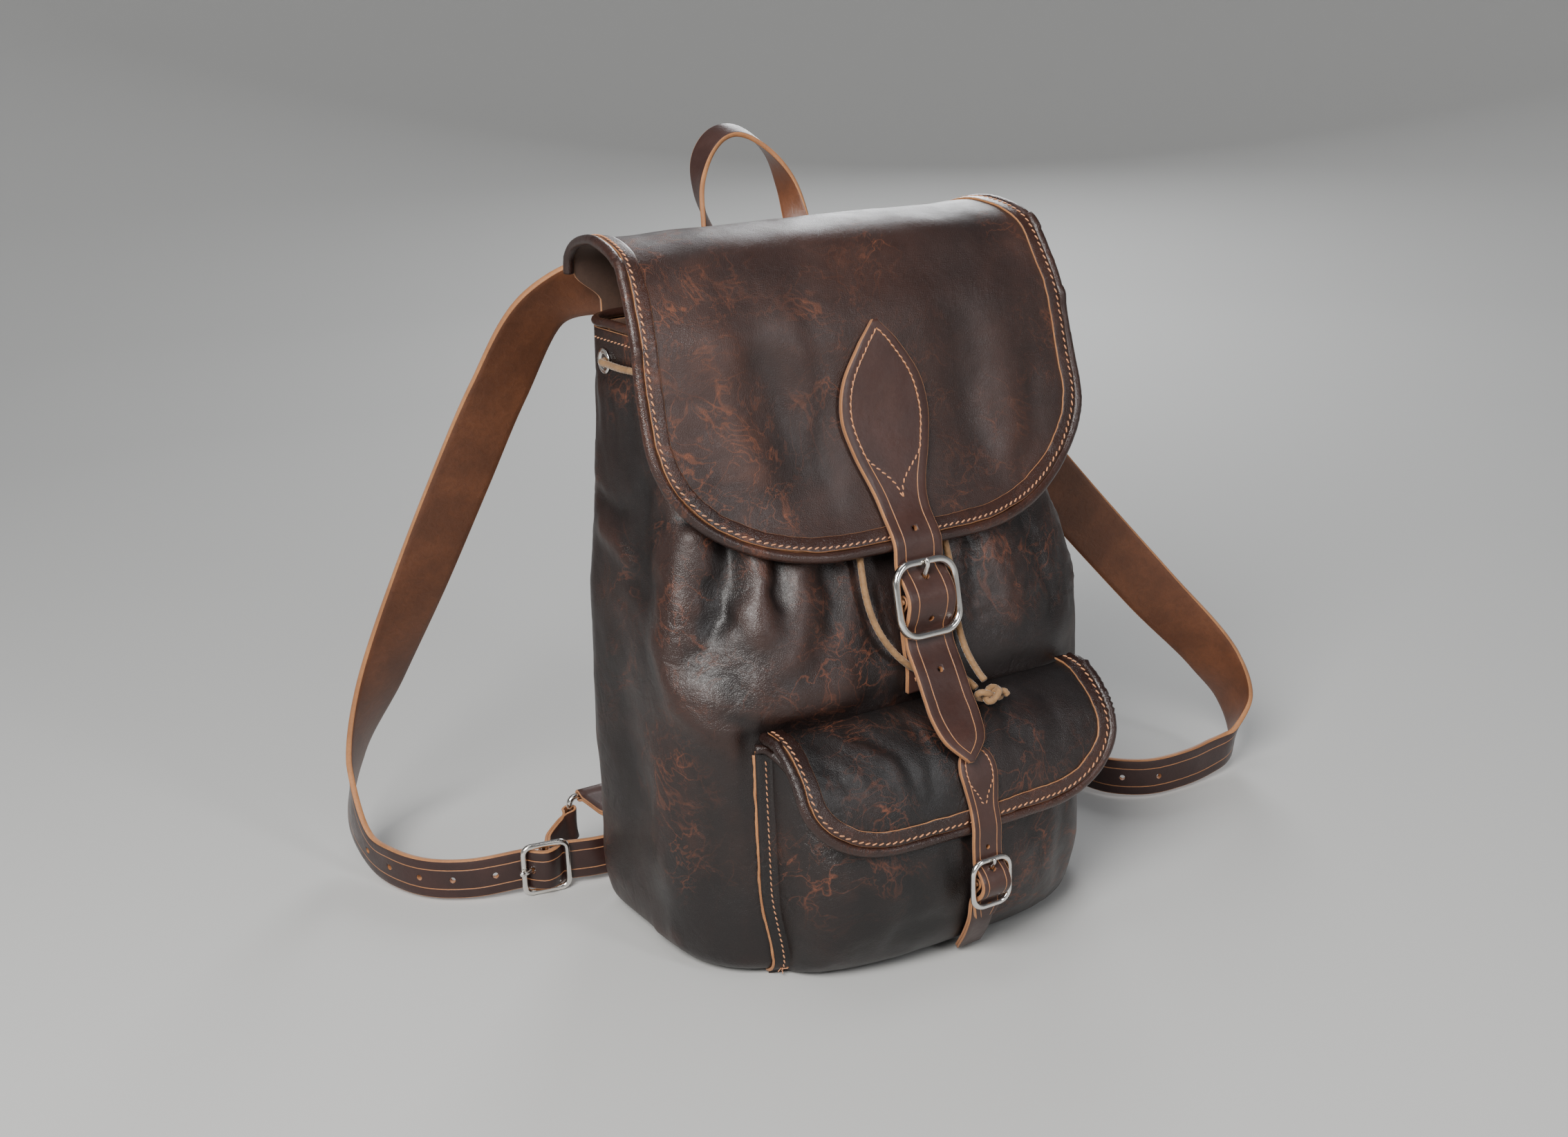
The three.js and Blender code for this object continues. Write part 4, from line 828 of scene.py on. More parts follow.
# ---- the bag ----
def section(z):
    """The bag's outline at a height, from the middle of the back round by the left to the back again."""
    w, front, back, fore, aft = (float(along(t, z)) for t in
                                 (BAG_HALF_WIDTH, BAG_FRONT, BAG_BACK, FRONT_CORNER, BACK_CORNER))

    def corner(x, y, radius, start, steps):
        turn = np.radians(np.linspace(start, start + 90, steps))[1:]
        return [(x + radius * math.cos(a), y + radius * math.sin(a)) for a in turn]

    left = [(x, back) for x in np.linspace(0, aft - w, 20)]
    left += corner(aft - w, back - aft, aft, 90, 14)
    left += [(-w, y) for y in np.linspace(back - aft, front + fore, 20)[1:]]
    left += corner(fore - w, front + fore, fore, 180, 22)
    left += [(x, front) for x in np.linspace(fore - w, 0, 25)[1:]]
    return np.array(left + [(-x, y) for x, y in left[::-1]][1:])


def front_at(x, z):
    """The front surface's Y at a place across and up the bag."""
    fore = along(FRONT_CORNER, z)
    run = np.clip(np.abs(x) - (along(BAG_HALF_WIDTH, z) - fore), 0, fore)
    return along(BAG_FRONT, z) + fore - np.sqrt(np.maximum(fore ** 2 - run ** 2, 0))


# Folds of the bag's leather: a line of (distance round from the middle of the front, height above the floor),
# its width, and how high the ridge stands, or how deep the valley is if negative.
FOLDS = [
    ([(-118, 300), (-120, 275), (-127, 248), (-140, 218), (-152, 194), (-154, 178), (-146, 165),
      (-134, 156), (-120, 150),
      (-100, 147)], 14, 8.5),
    ([(-100, 274), (-103, 258), (-111, 232), (-121, 210), (-128, 196)], 8, -7.0),
    ([(-86, 262), (-87, 246), (-92, 226), (-100, 204), (-108, 190)], 9, 4.6),
    ([(-76, 262), (-77, 244), (-80, 226), (-88, 208)], 6, -4.6),
    ([(-62, 262), (-62, 240), (-68, 216), (-84, 192), (-104, 176)], 9, 3.4),
    ([(-44, 255), (-46, 230), (-52, 210), (-66, 192)], 7, -3.0),
    ([(-150, 168), (-128, 160), (-104, 154), (-80, 151)], 5, -1.8),
    ([(-122, 174), (-98, 168), (-70, 166), (-36, 168)], 18, 3.4),
    ([(-28, 215), (-32, 190), (-28, 172)], 6, -1.4),
    ([(56, 250), (60, 224), (66, 196), (58, 172)], 11, 2.4),
    ([(44, 245), (42, 215), (40, 190)], 6, -1.6),
    ([(84, 250), (92, 215), (98, 185), (92, 168)], 8, -3.2),
    ([(112, 262), (118, 230), (126, 200), (122, 176)], 11, 3.4),
    ([(140, 270), (150, 235), (160, 200)], 9, -3.4),
    ([(-146, 290), (-153, 262), (-168, 232), (-182, 205)], 13, -4.4),
    ([(-214, 262), (-186, 256), (-166, 262)], 6, -2.4),
    ([(-214, 246), (-190, 238), (-174, 226)], 8, 2.4),
    ([(-208, 205), (-214, 160), (-206, 110), (-196, 60)], 20, -2.4),
    ([(-186, 150), (-178, 110), (-176, 60), (-170, 30)], 20, 2.4),
    ([(-160, 20), (-176, 12), (-200, 10)], 9, 2.0),
    ([(-140, 134), (-136, 90), (-132, 40)], 10, -1.6),
    ([(205, 268), (180, 258), (158, 268)], 8, -2.6),
    ([(214, 250), (190, 240), (170, 225)], 9, 2.6),
    ([(200, 200), (210, 150), (200, 90), (188, 50)], 20, -2.4),
    ([(178, 140), (174, 100), (172, 40)], 18, 2.2),
]


def bag_relief(s, z):
    """How far the leather stands out or in from the smooth bag."""
    relief = creased(0, s, z, FOLDS, 3.0 * noise2(s / 21 + 3, z / 25, 5))
    gather = smoothstep(265, 330, z) * (1 - smoothstep(336, 352, z))
    relief = relief + gather * 1.3 * noise1(s / 7.5 + 0.5 * noise1(z / 30, 4), 9)
    relief = relief + 1.1 * noise2(s / 62, z / 58, 11) + 0.3 * noise2(s / 22, z / 27, 12)
    relief = relief + 0.1 * noise2(s / 6, z / 8, 13) * smoothstep(140, 200, z)
    crackled = smoothstep(18, 36, s) * (1 - smoothstep(120, 160, s))
    crackled = crackled * smoothstep(160, 185, z) * (1 - smoothstep(225, 250, z))
    relief = relief + 0.8 * crackled * np.abs(noise2(s / 5.5 + noise2(s / 11, z / 11, 3), z / 7, 17))
    # flat where other pieces lie on it
    front = (1 - smoothstep(112, 122, np.abs(s))) * (1 - smoothstep(146, 158, z))
    chape = (1 - smoothstep(14, 22, np.abs(s))) * (1 - smoothstep(214, 224, z))
    eyelets = smoothstep(325, 331, z)
    bottom = 1 - smoothstep(1, 12, z)
    held = np.maximum.reduce([front, chape, eyelets, bottom])
    under = smoothstep(252, 262, z) * (1 - smoothstep(120, 150, np.abs(s)))
    relief = np.where(relief > 0, relief * (1 - 0.75 * under), relief)
    return relief * (1 - held)


def cord_groove(s, z):
    """Keeps the leather below the free ends of the drawstring, which lie on it."""
    near = np.full(np.shape(s), 1e9)
    for points in (DRAWSTRING_LEFT[2:13], DRAWSTRING_RIGHT[2:11]):
        for x, _, height in Curve(points).at(np.linspace(0, 1, 60)):
            near = np.minimum(near, np.hypot(s - x, z - height))
    return 1 - smoothstep(3, 12, near)


def bag_grid(pitch, low, high, from_x):
    """Points of the bag's outer leather, how far round each is from the middle of the front, and its Z."""
    heights = np.linspace(low, high, int((high - low) / pitch) + 1)
    columns = int(2 * HALF_ROUND / pitch)
    rows, rounds = [], []
    for z in heights:
        line = section(z)
        steps = run_length(line)
        first = steps[np.argmax(line[:, 0] < -from_x)]
        marks = np.linspace(first, steps[-1] - first, columns)
        x, y = (np.interp(marks, steps, line[:, i]) for i in range(2))
        rows.append(np.stack([x, y, np.full(columns, z)], axis=1))
        rounds.append(marks - steps[-1] / 2)
    grid = np.array(rows)
    return grid, np.array(rounds), grid[..., 2].copy()


def settle(points, grid, normals, lift):
    """Lays a line of points on a grid's surface, this far above it."""
    flat, look = grid.reshape(-1, 3), normals.reshape(-1, 3)
    out, facing = [], []
    for p in np.asarray(points, float):
        k = np.argmin(np.sum((flat - p) ** 2, axis=1))
        n = look[k]
        out.append(p - n * np.dot(p - flat[k], n) + n * lift)
        facing.append(n)
    return np.array(out), np.array(facing)


def curved(relief):
    """Rub wear and painted shade from relief: ridges rubbed, valleys darkened with painted shade."""
    smooth = relief.copy()
    for _ in range(3):
        down = np.roll(smooth, 2, 0) + np.roll(smooth, -2, 0)
        smooth = (down + np.roll(smooth, 2, 1) + np.roll(smooth, -2, 1)) / 4
    return np.clip((relief - smooth) * 0.7 + relief * 0.13, -1, 1)


PITCH = 2.2
HALF_ROUND = 295  # half the way round the bag's outer leather


def make_bag_leather():
    """The front and sides, one piece of leather with its folds."""
    grid, s, z = bag_grid(PITCH, 0.0, BAG_TOP, BACK_PANEL_HALF_WIDTH)
    relief = bag_relief(s, z)
    groove = cord_groove(s, z)
    relief = np.where(relief > 0.2, relief * (1 - groove) + 0.2 * groove, relief)
    normals = grid_normals(grid)
    shell("bag_leather", grid + normals * relief[..., None], BODY, BAG, ["body_panel"], curved(relief))


def make_back():
    """The back panel, flat, with its long seams."""
    half = BACK_PANEL_HALF_WIDTH
    heights = np.linspace(0, BAG_TOP, int(355 / PITCH))
    across = np.linspace(half - 0.3, 0.3 - half, int(2 * half / PITCH))
    back = np.empty((len(heights), len(across), 3))
    for i, h in enumerate(heights):
        line = section(h)[:60]
        y = np.interp(np.abs(across), np.abs(line[:, 0]), line[:, 1])
        back[i] = np.stack([across, y, np.full(len(across), h)], axis=1)
    x, h = back[..., 0], back[..., 2]
    edge = smoothstep(0, 14, half - np.abs(x)) * smoothstep(0, 14, h) * (1 - smoothstep(312, 320, h))
    tabs = (1 - smoothstep(8, 14, np.abs(np.abs(x) - 104)))
    swell = 0.9 * noise2(x / 50, h / 60, 21) + 0.3 * noise2(x / 16, h / 18, 22) - 0.5
    swell = swell * edge * (1 - tabs)
    back[..., 1] += swell
    back_normals = grid_normals(back)
    shell("back_leather", back, BODY, BAG, ["back_panel"], curved(swell))
    for side in (-1, 1):
        column = -4 if side < 0 else 3
        line = back[4:-20, column]
        look = back_normals[4:-20, column]
        stitches(f"back_seam_{SIDES[side]}", line + look * 0.1, look, BAG, pitch=4)


def make_base():
    """The base, drawn in at its rim."""
    outline = section(1.2)[:-1]
    rings = []
    for share in (1.0, 0.985, 0.95, 0.8, 0.5, 0.2):
        inset = 2.7 + 120 * (1 - share) * 0.5
        ring = np.array([(x * (1 - inset / 126), y * (1 - inset / 68)) for x, y in outline])
        rings.append(np.column_stack([ring, np.full(len(ring), 0.5 + 0.9 * (1 - share))]))
    base = np.array(rings)
    points = base.reshape(-1, 3)
    top = points + V(0, 0, LEATHER)
    cols, rows = base.shape[1], base.shape[0]
    n = len(points)
    lower = quads(rows, cols, True)
    faces = [tuple(f) for f in lower] + [tuple(f[::-1] + n) for f in lower]
    last = (rows - 1) * cols
    faces += [tuple(last + j for j in range(cols)), tuple(n + last + j for j in range(cols))[::-1]]
    faces += [(j, n + j, n + (j + 1) % cols, (j + 1) % cols) for j in range(cols)]
    build("base_leather", np.concatenate([points, top]), faces, [BODY], BAG, ["base_panel"], "hide")


def make_mouth():
    """The rolled mouth and the stitches below it."""
    rim = section(356)[:-1]
    rim = resample(np.column_stack([rim * (1 - 1.1 / 120), np.full(len(rim), MOUTH_HEIGHT)]), 2.0, True)
    phase = np.arctan2(rim[:, 1], rim[:, 0])
    rim[:, 2] += 0.35 * noise1(phase * 9, 31)
    tube("mouth_roll", rim, ROLL + 0.1 * noise1(phase * 25, 33), BINDING, BAG, 14, True, Z_AXIS,
         replaces=["mouth_binding"], slot="binding")
    outward = unit(np.column_stack([np.cross(tangents(rim, True), Z_AXIS)[:, :2], np.zeros(len(rim))]))
    outward *= np.sign(np.sum(outward * rim, axis=1))[:, None]
    line = rim + outward * 1.5
    line[:, 2] = 350.0
    keep = line[:, 1] < 60  # none behind, where the flap is sewn on
    start = int(np.argmin(keep))
    order = np.roll(np.arange(len(line)), -start)
    order = order[keep[order]]
    stitches("mouth_stitches", line[order], outward[order], BAG, pitch=4.2)


make_bag_leather()
make_back()
make_base()
make_mouth()


def make_eyelets():
    w, front = along(BAG_HALF_WIDTH, NECK_HEIGHT), along(BAG_FRONT, NECK_HEIGHT)
    rise = along(BAG_FRONT, NECK_HEIGHT + 5) - along(BAG_FRONT, NECK_HEIGHT - 5)
    forward = unit(V(0, -10, rise))
    places = []
    for side in (-1, 1):
        places += [(V(side * x, front, NECK_HEIGHT), forward) for x in FRONT_EYELETS]
        places.append((V(side * w, SIDE_EYELET_Y, NECK_HEIGHT), V(side, 0, 0)))
    back = LEATHER + GAP
    bore, barrel, flange, thick = EYELET["bore"], EYELET["barrel"], EYELET["flange"], EYELET["thick"]
    profile = [(bore, -back), (barrel, -back), (barrel, GAP), (flange - 0.3, GAP), (flange, GAP + 0.25),
               (flange - 0.4, GAP + thick * 0.8), (5.6, GAP + thick), (bore + 0.3, GAP + thick * 0.6),
               (bore, 0)]
    sides = 32
    for k, (at, axis) in enumerate(places):
        first = unit(np.cross(axis, Z_AXIS))
        second = np.cross(axis, first)
        rings = [at + axis * h + r * (math.cos(a) * first + math.sin(a) * second)
                 for a in np.linspace(0, 2 * np.pi, sides, endpoint=False) for r, h in profile]
        count = len(profile)
        faces = [(i * count + j, i * count + (j + 1) % count,
                  ((i + 1) % sides) * count + (j + 1) % count,
                  ((i + 1) % sides) * count + j) for i in range(sides) for j in range(count)]
        build(f"eyelet_ring_{k + 1}", rings, faces, [METAL], BAG, [f"eyelet_{k + 1}"], "nickel")


make_eyelets()


def neck_point(side, kind, where, out):
    """A point of the neck cord, this far outside the leather. where is X, Y or degrees round a corner."""
    w, front, back, fore, aft = (float(along(t, NECK_HEIGHT)) for t in
                                 (BAG_HALF_WIDTH, BAG_FRONT, BAG_BACK, FRONT_CORNER, BACK_CORNER))
    if kind == "front":
        return V(side * where, front - out, NECK_HEIGHT)
    if kind == "side":
        return V(side * (w + out), where, NECK_HEIGHT)
    if kind == "back":
        return V(side * where, back + out, NECK_HEIGHT)
    turn = math.radians(where)
    corner = fore if kind == "fore" else aft
    x = w - corner + (corner + out) * math.sin(turn)
    y = back - aft + (aft + out) * math.cos(turn)
    if kind == "fore":
        y = front + fore - (fore + out) * math.cos(turn)
    return V(side * x, y, NECK_HEIGHT)


def make_neck_cord():
    """The cord round the neck, in and out of the eyelets."""
    outside, inside, reach = 3.7, -6.2, 2.6
    near, far = FRONT_EYELETS
    half = [("front", near, outside - 1.2), ("front", near + 0.6, 0), ("front", near + reach, inside + 1),
            ("front", near + 12, inside - 0.5), ("front", far - 12, inside - 0.5),
            ("front", far - reach, inside + 0.6),
            ("front", far + reach, outside - 0.4), ("front", far + 12, outside), ("fore", 30, outside),
            ("fore", 60, outside), ("fore", 88, outside), ("side", SIDE_EYELET_Y - 12, outside),
            ("side", SIDE_EYELET_Y - reach, outside - 0.4),
            ("side", SIDE_EYELET_Y + reach, inside + 0.6),
            ("aft", 60, inside - 2), ("aft", 20, inside - 2), ("back", 60, inside - 1)]
    left = [neck_point(-1, *h) for h in half]
    right = [neck_point(1, *h) for h in half][::-1]
    obj, _, _ = cord_piece("neck_drawstring", [*left, neck_point(1, "back", 0, inside - 1), *right],
                           ["neck_cord"])
    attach(obj, BAG)


make_neck_cord()


# ---- the flap ----
FLAP_CURVE = Curve([(0, y, z) for y, z in FLAP_PROFILE])


def rounded_length(length, corner, u):
    """A flap's length at a share across it. corner is where its rounding starts and what it takes off."""
    start, drop = corner
    t = np.clip((np.abs(u) - start) / (1 - start), 0, 1)
    return length - drop * (1 - np.sqrt(1 - t * t))


def flap_length(u):
    return rounded_length(FLAP_CURVE.length, FLAP_CORNER, u)


def flap_point(u, s):
    """The flap's smooth outer side at a share across it and a length from its hinge."""
    p = FLAP_CURVE.at_length(s)
    p[:, 0] = u * along(FLAP_HALF_WIDTH, s)
    p[:, 1] += along(FLAP_SIDE_SET, s) * u * u
    return p


# Dents and ridges of the flap, as FOLDS, but lines of (x, length from the hinge).
FLAP_DENTS = [
    ([(-76, 140), (-62, 190), (-50, 240)], 17, -2.6),
    ([(-96, 120), (-94, 180), (-80, 235)], 14, 1.6),
    ([(-40, 150), (-38, 195), (-36, 240)], 10, -2.2),
    ([(-56, 120), (-48, 165), (-42, 215)], 9, 1.4),
    ([(58, 130), (60, 180), (66, 240)], 15, -2.4),
    ([(94, 140), (90, 195), (82, 250)], 14, 1.5),
    ([(114, 180), (104, 220), (84, 250)], 10, -1.6),
    ([(-110, 60), (-40, 86), (40, 80)], 20, 1.0),
    ([(20, 60), (80, 100), (112, 150)], 18, 1.0),
]


def flap_relief(x, s):
    relief = creased(0, x, s, FLAP_DENTS, 3 * noise2(x / 22, s / 30, 41))
    relief = relief + 0.7 * noise2(x / 52, s / 66, 42) + 0.12 * noise2(x / 18, s / 26, 43) - 0.3
    strap_zone = (1 - smoothstep(30, 46, np.abs(x))) * smoothstep(85, 105, s)
    relief = np.where(relief > 0, relief * (1 - strap_zone), relief * (1 - 0.55 * strap_zone))
    pleats = smoothstep(96, 112, np.abs(x)) * smoothstep(150, 190, s)
    return relief * smoothstep(2, 30, s) + 0.25 * pleats * noise1(s / 2.6, 44)


def edge_line(place, lengths, side_steps, front_steps):
    """The free edge of a flap, from its left back corner round the front to its right back corner."""
    marks = [(-1, k / side_steps) for k in range(side_steps)]
    marks += [(math.sin(math.pi / 2 * (2 * k / front_steps - 1)), 1) for k in range(front_steps + 1)]
    marks += [(1, k / side_steps) for k in range(side_steps - 1, -1, -1)]
    u, v = np.array(marks, float).T
    return place(u, v * lengths(u))


def flap_edge(name, line, grid, body, replaces):
    """The roll round a flap's free edge, its band of binding with a pale cut edge, and its stitches."""
    normals = grid_normals(grid)
    line = resample(line, 1.6)
    _, look = settle(line, grid, normals, 0)
    out = unit(np.cross(tangents(line), look))
    centre = line - look * (LEATHER / 2) + out * (ROLL + 1.5 * GAP - 0.1)
    phase = np.arange(len(line)) / 3.0
    tube(f"{name}_roll", centre, ROLL + 0.45 + 0.09 * noise1(phase, 51), BINDING, body, replaces=replaces,
         slot="binding")
    inner, facing = settle(line - out * (4.1 + 0.25 * noise1(phase, 52))[:, None], grid, normals, 0.5)
    half = 4.3 + 0.22 * noise1(phase * 0.6, 53)
    band = {"at": inner, "face": facing, "across": np.cross(tangents(inner), facing), "half": half}
    strap(f"{name}_band", band, 1.3, [BINDING, EDGE, INSIDE], body, 6, belly=0.25, slot="binding")
    sewn, facing = settle(line - out * 1.9, grid, normals, 1.3)
    stitches(f"{name}_stitches", sewn, facing, body, pitch=4.2, length=3.2, radius=0.46, slant=0.42)


def yoke_y(z):
    """The outer side of the yoke, which is sewn to the bag's back and stands off it near the hinge."""
    return along(BAG_BACK, z) + along(YOKE_STAND, z) + GAP + LEATHER


def make_flap():
    """The flap with the yoke below its hinge: one leather, which bends along the hinge."""
    cols = int(2 * 140 / PITCH)
    rows = int(FLAP_CURVE.length / PITCH)
    u = np.sin(np.linspace(np.pi / 2, -np.pi / 2, cols))
    v = np.linspace(0, 1, rows)
    uu, vv = np.meshgrid(u, v)
    s = vv * flap_length(uu)
    smooth = flap_point(uu.ravel(), s.ravel()).reshape(rows, cols, 3)
    relief = flap_relief(smooth[..., 0], s)
    front_edge = smoothstep(0, 8, (1 - vv) * flap_length(uu))
    side_edge = smoothstep(0, 10, (1 - np.abs(uu)) * FLAP_HALF_WIDTH[-1][1])
    relief = relief * np.minimum(front_edge, side_edge)
    flap = smooth + grid_normals(smooth) * relief[..., None]
    heights = np.linspace(YOKE["bottom"], YOKE["top"], int(66 / PITCH))
    yoke = np.empty((len(heights), cols, 3))
    for i, z in enumerate(heights):
        y = yoke_y(z)
        share = smoothstep(366, 383, z)
        half = YOKE["half_width"] * (1 - share) + 127.6 * share
        yoke[i] = np.stack([u * half, np.full(cols, y), np.full(cols, z)], axis=1)
    flap[0, :, 1:] = (flap[0, :, 1:] + yoke[-1, :, 1:]) / 2
    whole = np.concatenate([yoke[:-1], flap])
    # rub wear on the ridges and painted shade in the valleys of the flap's folds, none on the yoke
    worn_and_shaded = np.concatenate([np.zeros((len(heights) - 1, cols)), curved(relief)])
    obj = shell("flap_leather", whole, FLAP_LOOK, None, ["flap_panel", "shoulder_yoke"], worn_and_shaded)
    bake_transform(obj)
    flap_edge("flap_edge", edge_line(flap_point, flap_length, 60, 120), flap, FLAP, ["flap_binding"])
    # the yoke's seam to the bag
    y = yoke[2, :, 1].mean() + 0.15
    seam = np.array([(x, y, YOKE["bottom"] + 4.5) for x in np.linspace(-107, 107, 90)])
    stitches("yoke_seam", seam, V(0, 1, 0), BAG, pitch=4)
    for side in (-1, 1):
        sew = np.array([(side * 108, yoke_y(z) + 0.15, z) for z in np.linspace(323, 362, 20)])
        stitches(f"yoke_side_seam_{SIDES[side]}", sew, V(0, 1, 0), BAG, pitch=4)


make_flap()


# ---- buckles ----
def place_of(bar, right, up, out):
    """Where a buckle is: the middle of its bar and its three directions."""
    return {"bar": bar, "right": right, "up": up, "out": out}


def on_place(place, right, up, out):
    return place["bar"] + place["right"] * right + place["up"] * up + place["out"] * out


def rounded_loop(place, size, out):
    """The middle line of a rectangular frame or ring with round corners."""
    flat = []
    corner = size["corner"]
    w, h = size["half_width"] - corner, size["half_height"] - corner
    for x, y, start in ((w, -h, -90), (w, h, 0), (-w, h, 90), (-w, -h, 180)):
        for a in np.radians(np.linspace(start, start + 90, 9)):
            flat.append(on_place(place, x + corner * math.cos(a), y + corner * math.sin(a), out))
    return resample(flat, 1.0, True)


def buckle(name, place, size, body, replaces):
    """A frame with the bar across its middle, which sits lower than the frame."""
    loop = rounded_loop(place, size, size["lift"])
    frame_part = tube_mesh(loop, size["wire"], 18, True, hint=place["out"])
    reach = size["half_width"]
    bar = [(-reach, size["lift"]), (2.2 - reach, 0.4), (4.5 - reach, 0), (0, 0), (reach - 4.5, 0),
           (reach - 2.2, 0.4),
           (reach, size["lift"])]
    line = Curve([on_place(place, x, 0, o) for x, o in bar]).at(np.linspace(0, 1, 50))
    bar_part = tube_mesh(line, size["bar"], 14, hint=place["up"])
    points, faces = merged([part[:2] for part in (frame_part, bar_part)])
    return build(name, points, faces, [METAL], body, replaces, "nickel")


def prong(name, place, size, crown, body, replaces, ball=0.0):
    """A prong: a collar round the bar and a bent shank over the frame, with a ball for a tip if asked."""
    hub = [place["bar"] + place["right"] * h for h in np.linspace(-1.6, 1.6, 6)]
    collar = tube_mesh(hub, size["bar"] + np.array([1.1, 1.4, 1.45, 1.45, 1.4, 1.1]), 20)
    over = size["lift"] + size["wire"] + size["prong"] + 0.3
    top = size["half_height"]
    shank = [(size["bar"] + 0.4, -0.2), (top * 0.36, -0.7), (top * 0.5, 0.4), (top * 0.63, crown * 0.36),
             (top * 0.78, over * 0.7), (top * 0.93, over * 0.98), (top + size["wire"], over)]
    line = Curve([on_place(place, 0, u, o) for u, o in shank]).at(np.linspace(0, 1, 40))
    taper = size["prong"] * (1.0 - 0.12 * np.linspace(0, 1, 40) ** 2)
    taper[-3:] *= [0.95, 0.8, 0.45]
    parts = [collar[:2], tube_mesh(line, taper, 14)[:2]]
    if ball:
        steps = np.linspace(-1, 1, 9)
        drop = [line[-1] + tangents(line)[-1] * (x * ball) for x in steps]
        parts.append(tube_mesh(drop, ball * np.sqrt(np.clip(1 - steps ** 2, 0.02, 1)), 16)[:2])
    points, faces = merged(parts)
    return build(name, points, faces, [METAL], body, replaces, "nickel")


def threaded(place, size, thickness, crown):
    """The way of a strap through a buckle: behind the frame, over the bar, and behind the frame again."""
    behind = size["lift"] - size["wire"] - 0.6 - thickness / 2
    top = size["half_height"]
    rows = [(1, behind), (0.78, behind + 0.5), (0.42, (behind + crown) * 0.78), (0, crown)]
    rows += [(-u, o) for u, o in rows[-2::-1]]
    return [on_place(place, 0, u * top, o) for u, o in rows]


def hairpin(line, axis, eye, layer, far_eye):
    """The middle line of a strip folded round a bar: down one side of a line, round its end, and back."""
    curve = Curve(line)
    s = np.linspace(0, curve.length, 40)
    centre = curve.at_length(s)
    t = tangents(centre)
    n = unit(np.cross(np.broadcast_to(axis, t.shape), t))
    rest = layer / 2 + 0.06
    reach = 7.0  # how far from a bar its two layers close up
    offset = rest + (eye + layer / 2 - rest) * (1 - smoothstep(0, reach, s))
    if far_eye:
        far = rest + (far_eye + layer / 2 - rest) * (1 - smoothstep(0, reach, curve.length - s))
        offset = np.maximum(offset, far)
    outer = centre + n * offset[:, None]
    inner = centre - n * offset[:, None]

    def bend(at, way, side, radius):
        return [at + radius * (math.cos(a) * side + math.sin(a) * way)
                for a in np.linspace(0, np.pi, 13)[1:-1]]

    path = list(outer[::-1]) + bend(centre[0], -t[0], n[0], eye + layer / 2) + list(inner)
    if far_eye:
        path += bend(centre[-1], t[-1], -n[-1], far_eye + layer / 2)
        path.append(outer[-1])
    return np.array(path)


def folded_strip(name, line, axis, bar, layer, width, body, replaces, far_eye=None):
    """A strip folded round a bar, as a strap of one layer with its grain side out."""
    path = resample(hairpin(line, axis, bar + 0.3, layer, far_eye), 1.1)
    t = tangents(path)
    face = -unit(np.cross(np.broadcast_to(axis, t.shape), t))
    band = {"at": path, "face": face, "across": np.cross(t, face), "half": np.full(len(path), width / 2)}
    strap(name, band, layer, STRIP_LOOKS, body, 4, replaces=replaces, slot="strap_leather")


# ---- the closing strap, its buckle and the chape that holds it ----
LEAN = math.radians(11.7)  # how far the main buckle leans back
MAIN_PLACE = place_of(V(0, -80.3, 207), X_AXIS, V(0, math.sin(LEAN), math.cos(LEAN)),
                      V(0, -math.cos(LEAN), math.sin(LEAN)))
MAIN_CROWN = 6.5  # how far the strap's middle stands out over the bar


def leaf_stations():
    """Stations of the closing strap's leaf shaped end, which is sewn on the flap."""
    s = np.arange(110, FLAP_CURVE.length, 0.25)
    z = FLAP_CURVE.at_length(s)[:, 2]
    stations = []
    for height, width in ((LEAF["top"], 3), (345, 24), (325, 50), (305, LEAF["widest"]), (285, 50), (265, 36),
                          (252, BILLET_WIDTH)):
        at = s[np.argmax(z <= height)]
        p = FLAP_CURVE.at_length([at - 0.5, at, at + 0.5])
        face = unit(np.cross(p[2] - p[0], X_AXIS))
        stations.append((p[1] + face * (2 * GAP + STRAP_LEATHER / 2), face, width))
    return stations


def leaf_seam(name, band, inset, thickness, end_height, narrowing, body, waist=0, **thread):
    """Stitches inside the outline of a strap's leaf, down to a height, where they draw together to a point.
    narrowing is where that starts, as a share of the leaf, and how much it is. waist puts the point that many
    sections further on."""
    end = int(np.argmin(np.abs(band["at"][:, 2] - end_height)))
    rows = np.arange(end)
    half = np.maximum(band["half"][rows] - inset, 0)
    rows, half = rows[half > 0], half[half > 0]
    up = band["face"][rows] * (thickness / 2 + 0.05)
    left = band["at"][rows] + up - band["across"][rows] * half[:, None]
    right = band["at"][rows] + up + band["across"][rows] * half[:, None]
    middle = (left + right) / 2
    start, share = narrowing
    fade = (smoothstep(len(left) * start, len(left), np.arange(len(left))) * share)[:, None]
    left += (middle - left) * fade
    right += (middle - right) * fade
    point = middle[-1]
    if waist:
        point = band["at"][end + waist] + band["face"][end + waist] * (thickness / 2)
    face = band["face"][rows]
    loop = np.concatenate([middle[:1], left, [point], right[::-1], middle[:1]])
    faces = np.concatenate([face[:1], face, face[-1:], face[::-1], face[:1]])
    stitches(name, loop, faces, body, **thread)


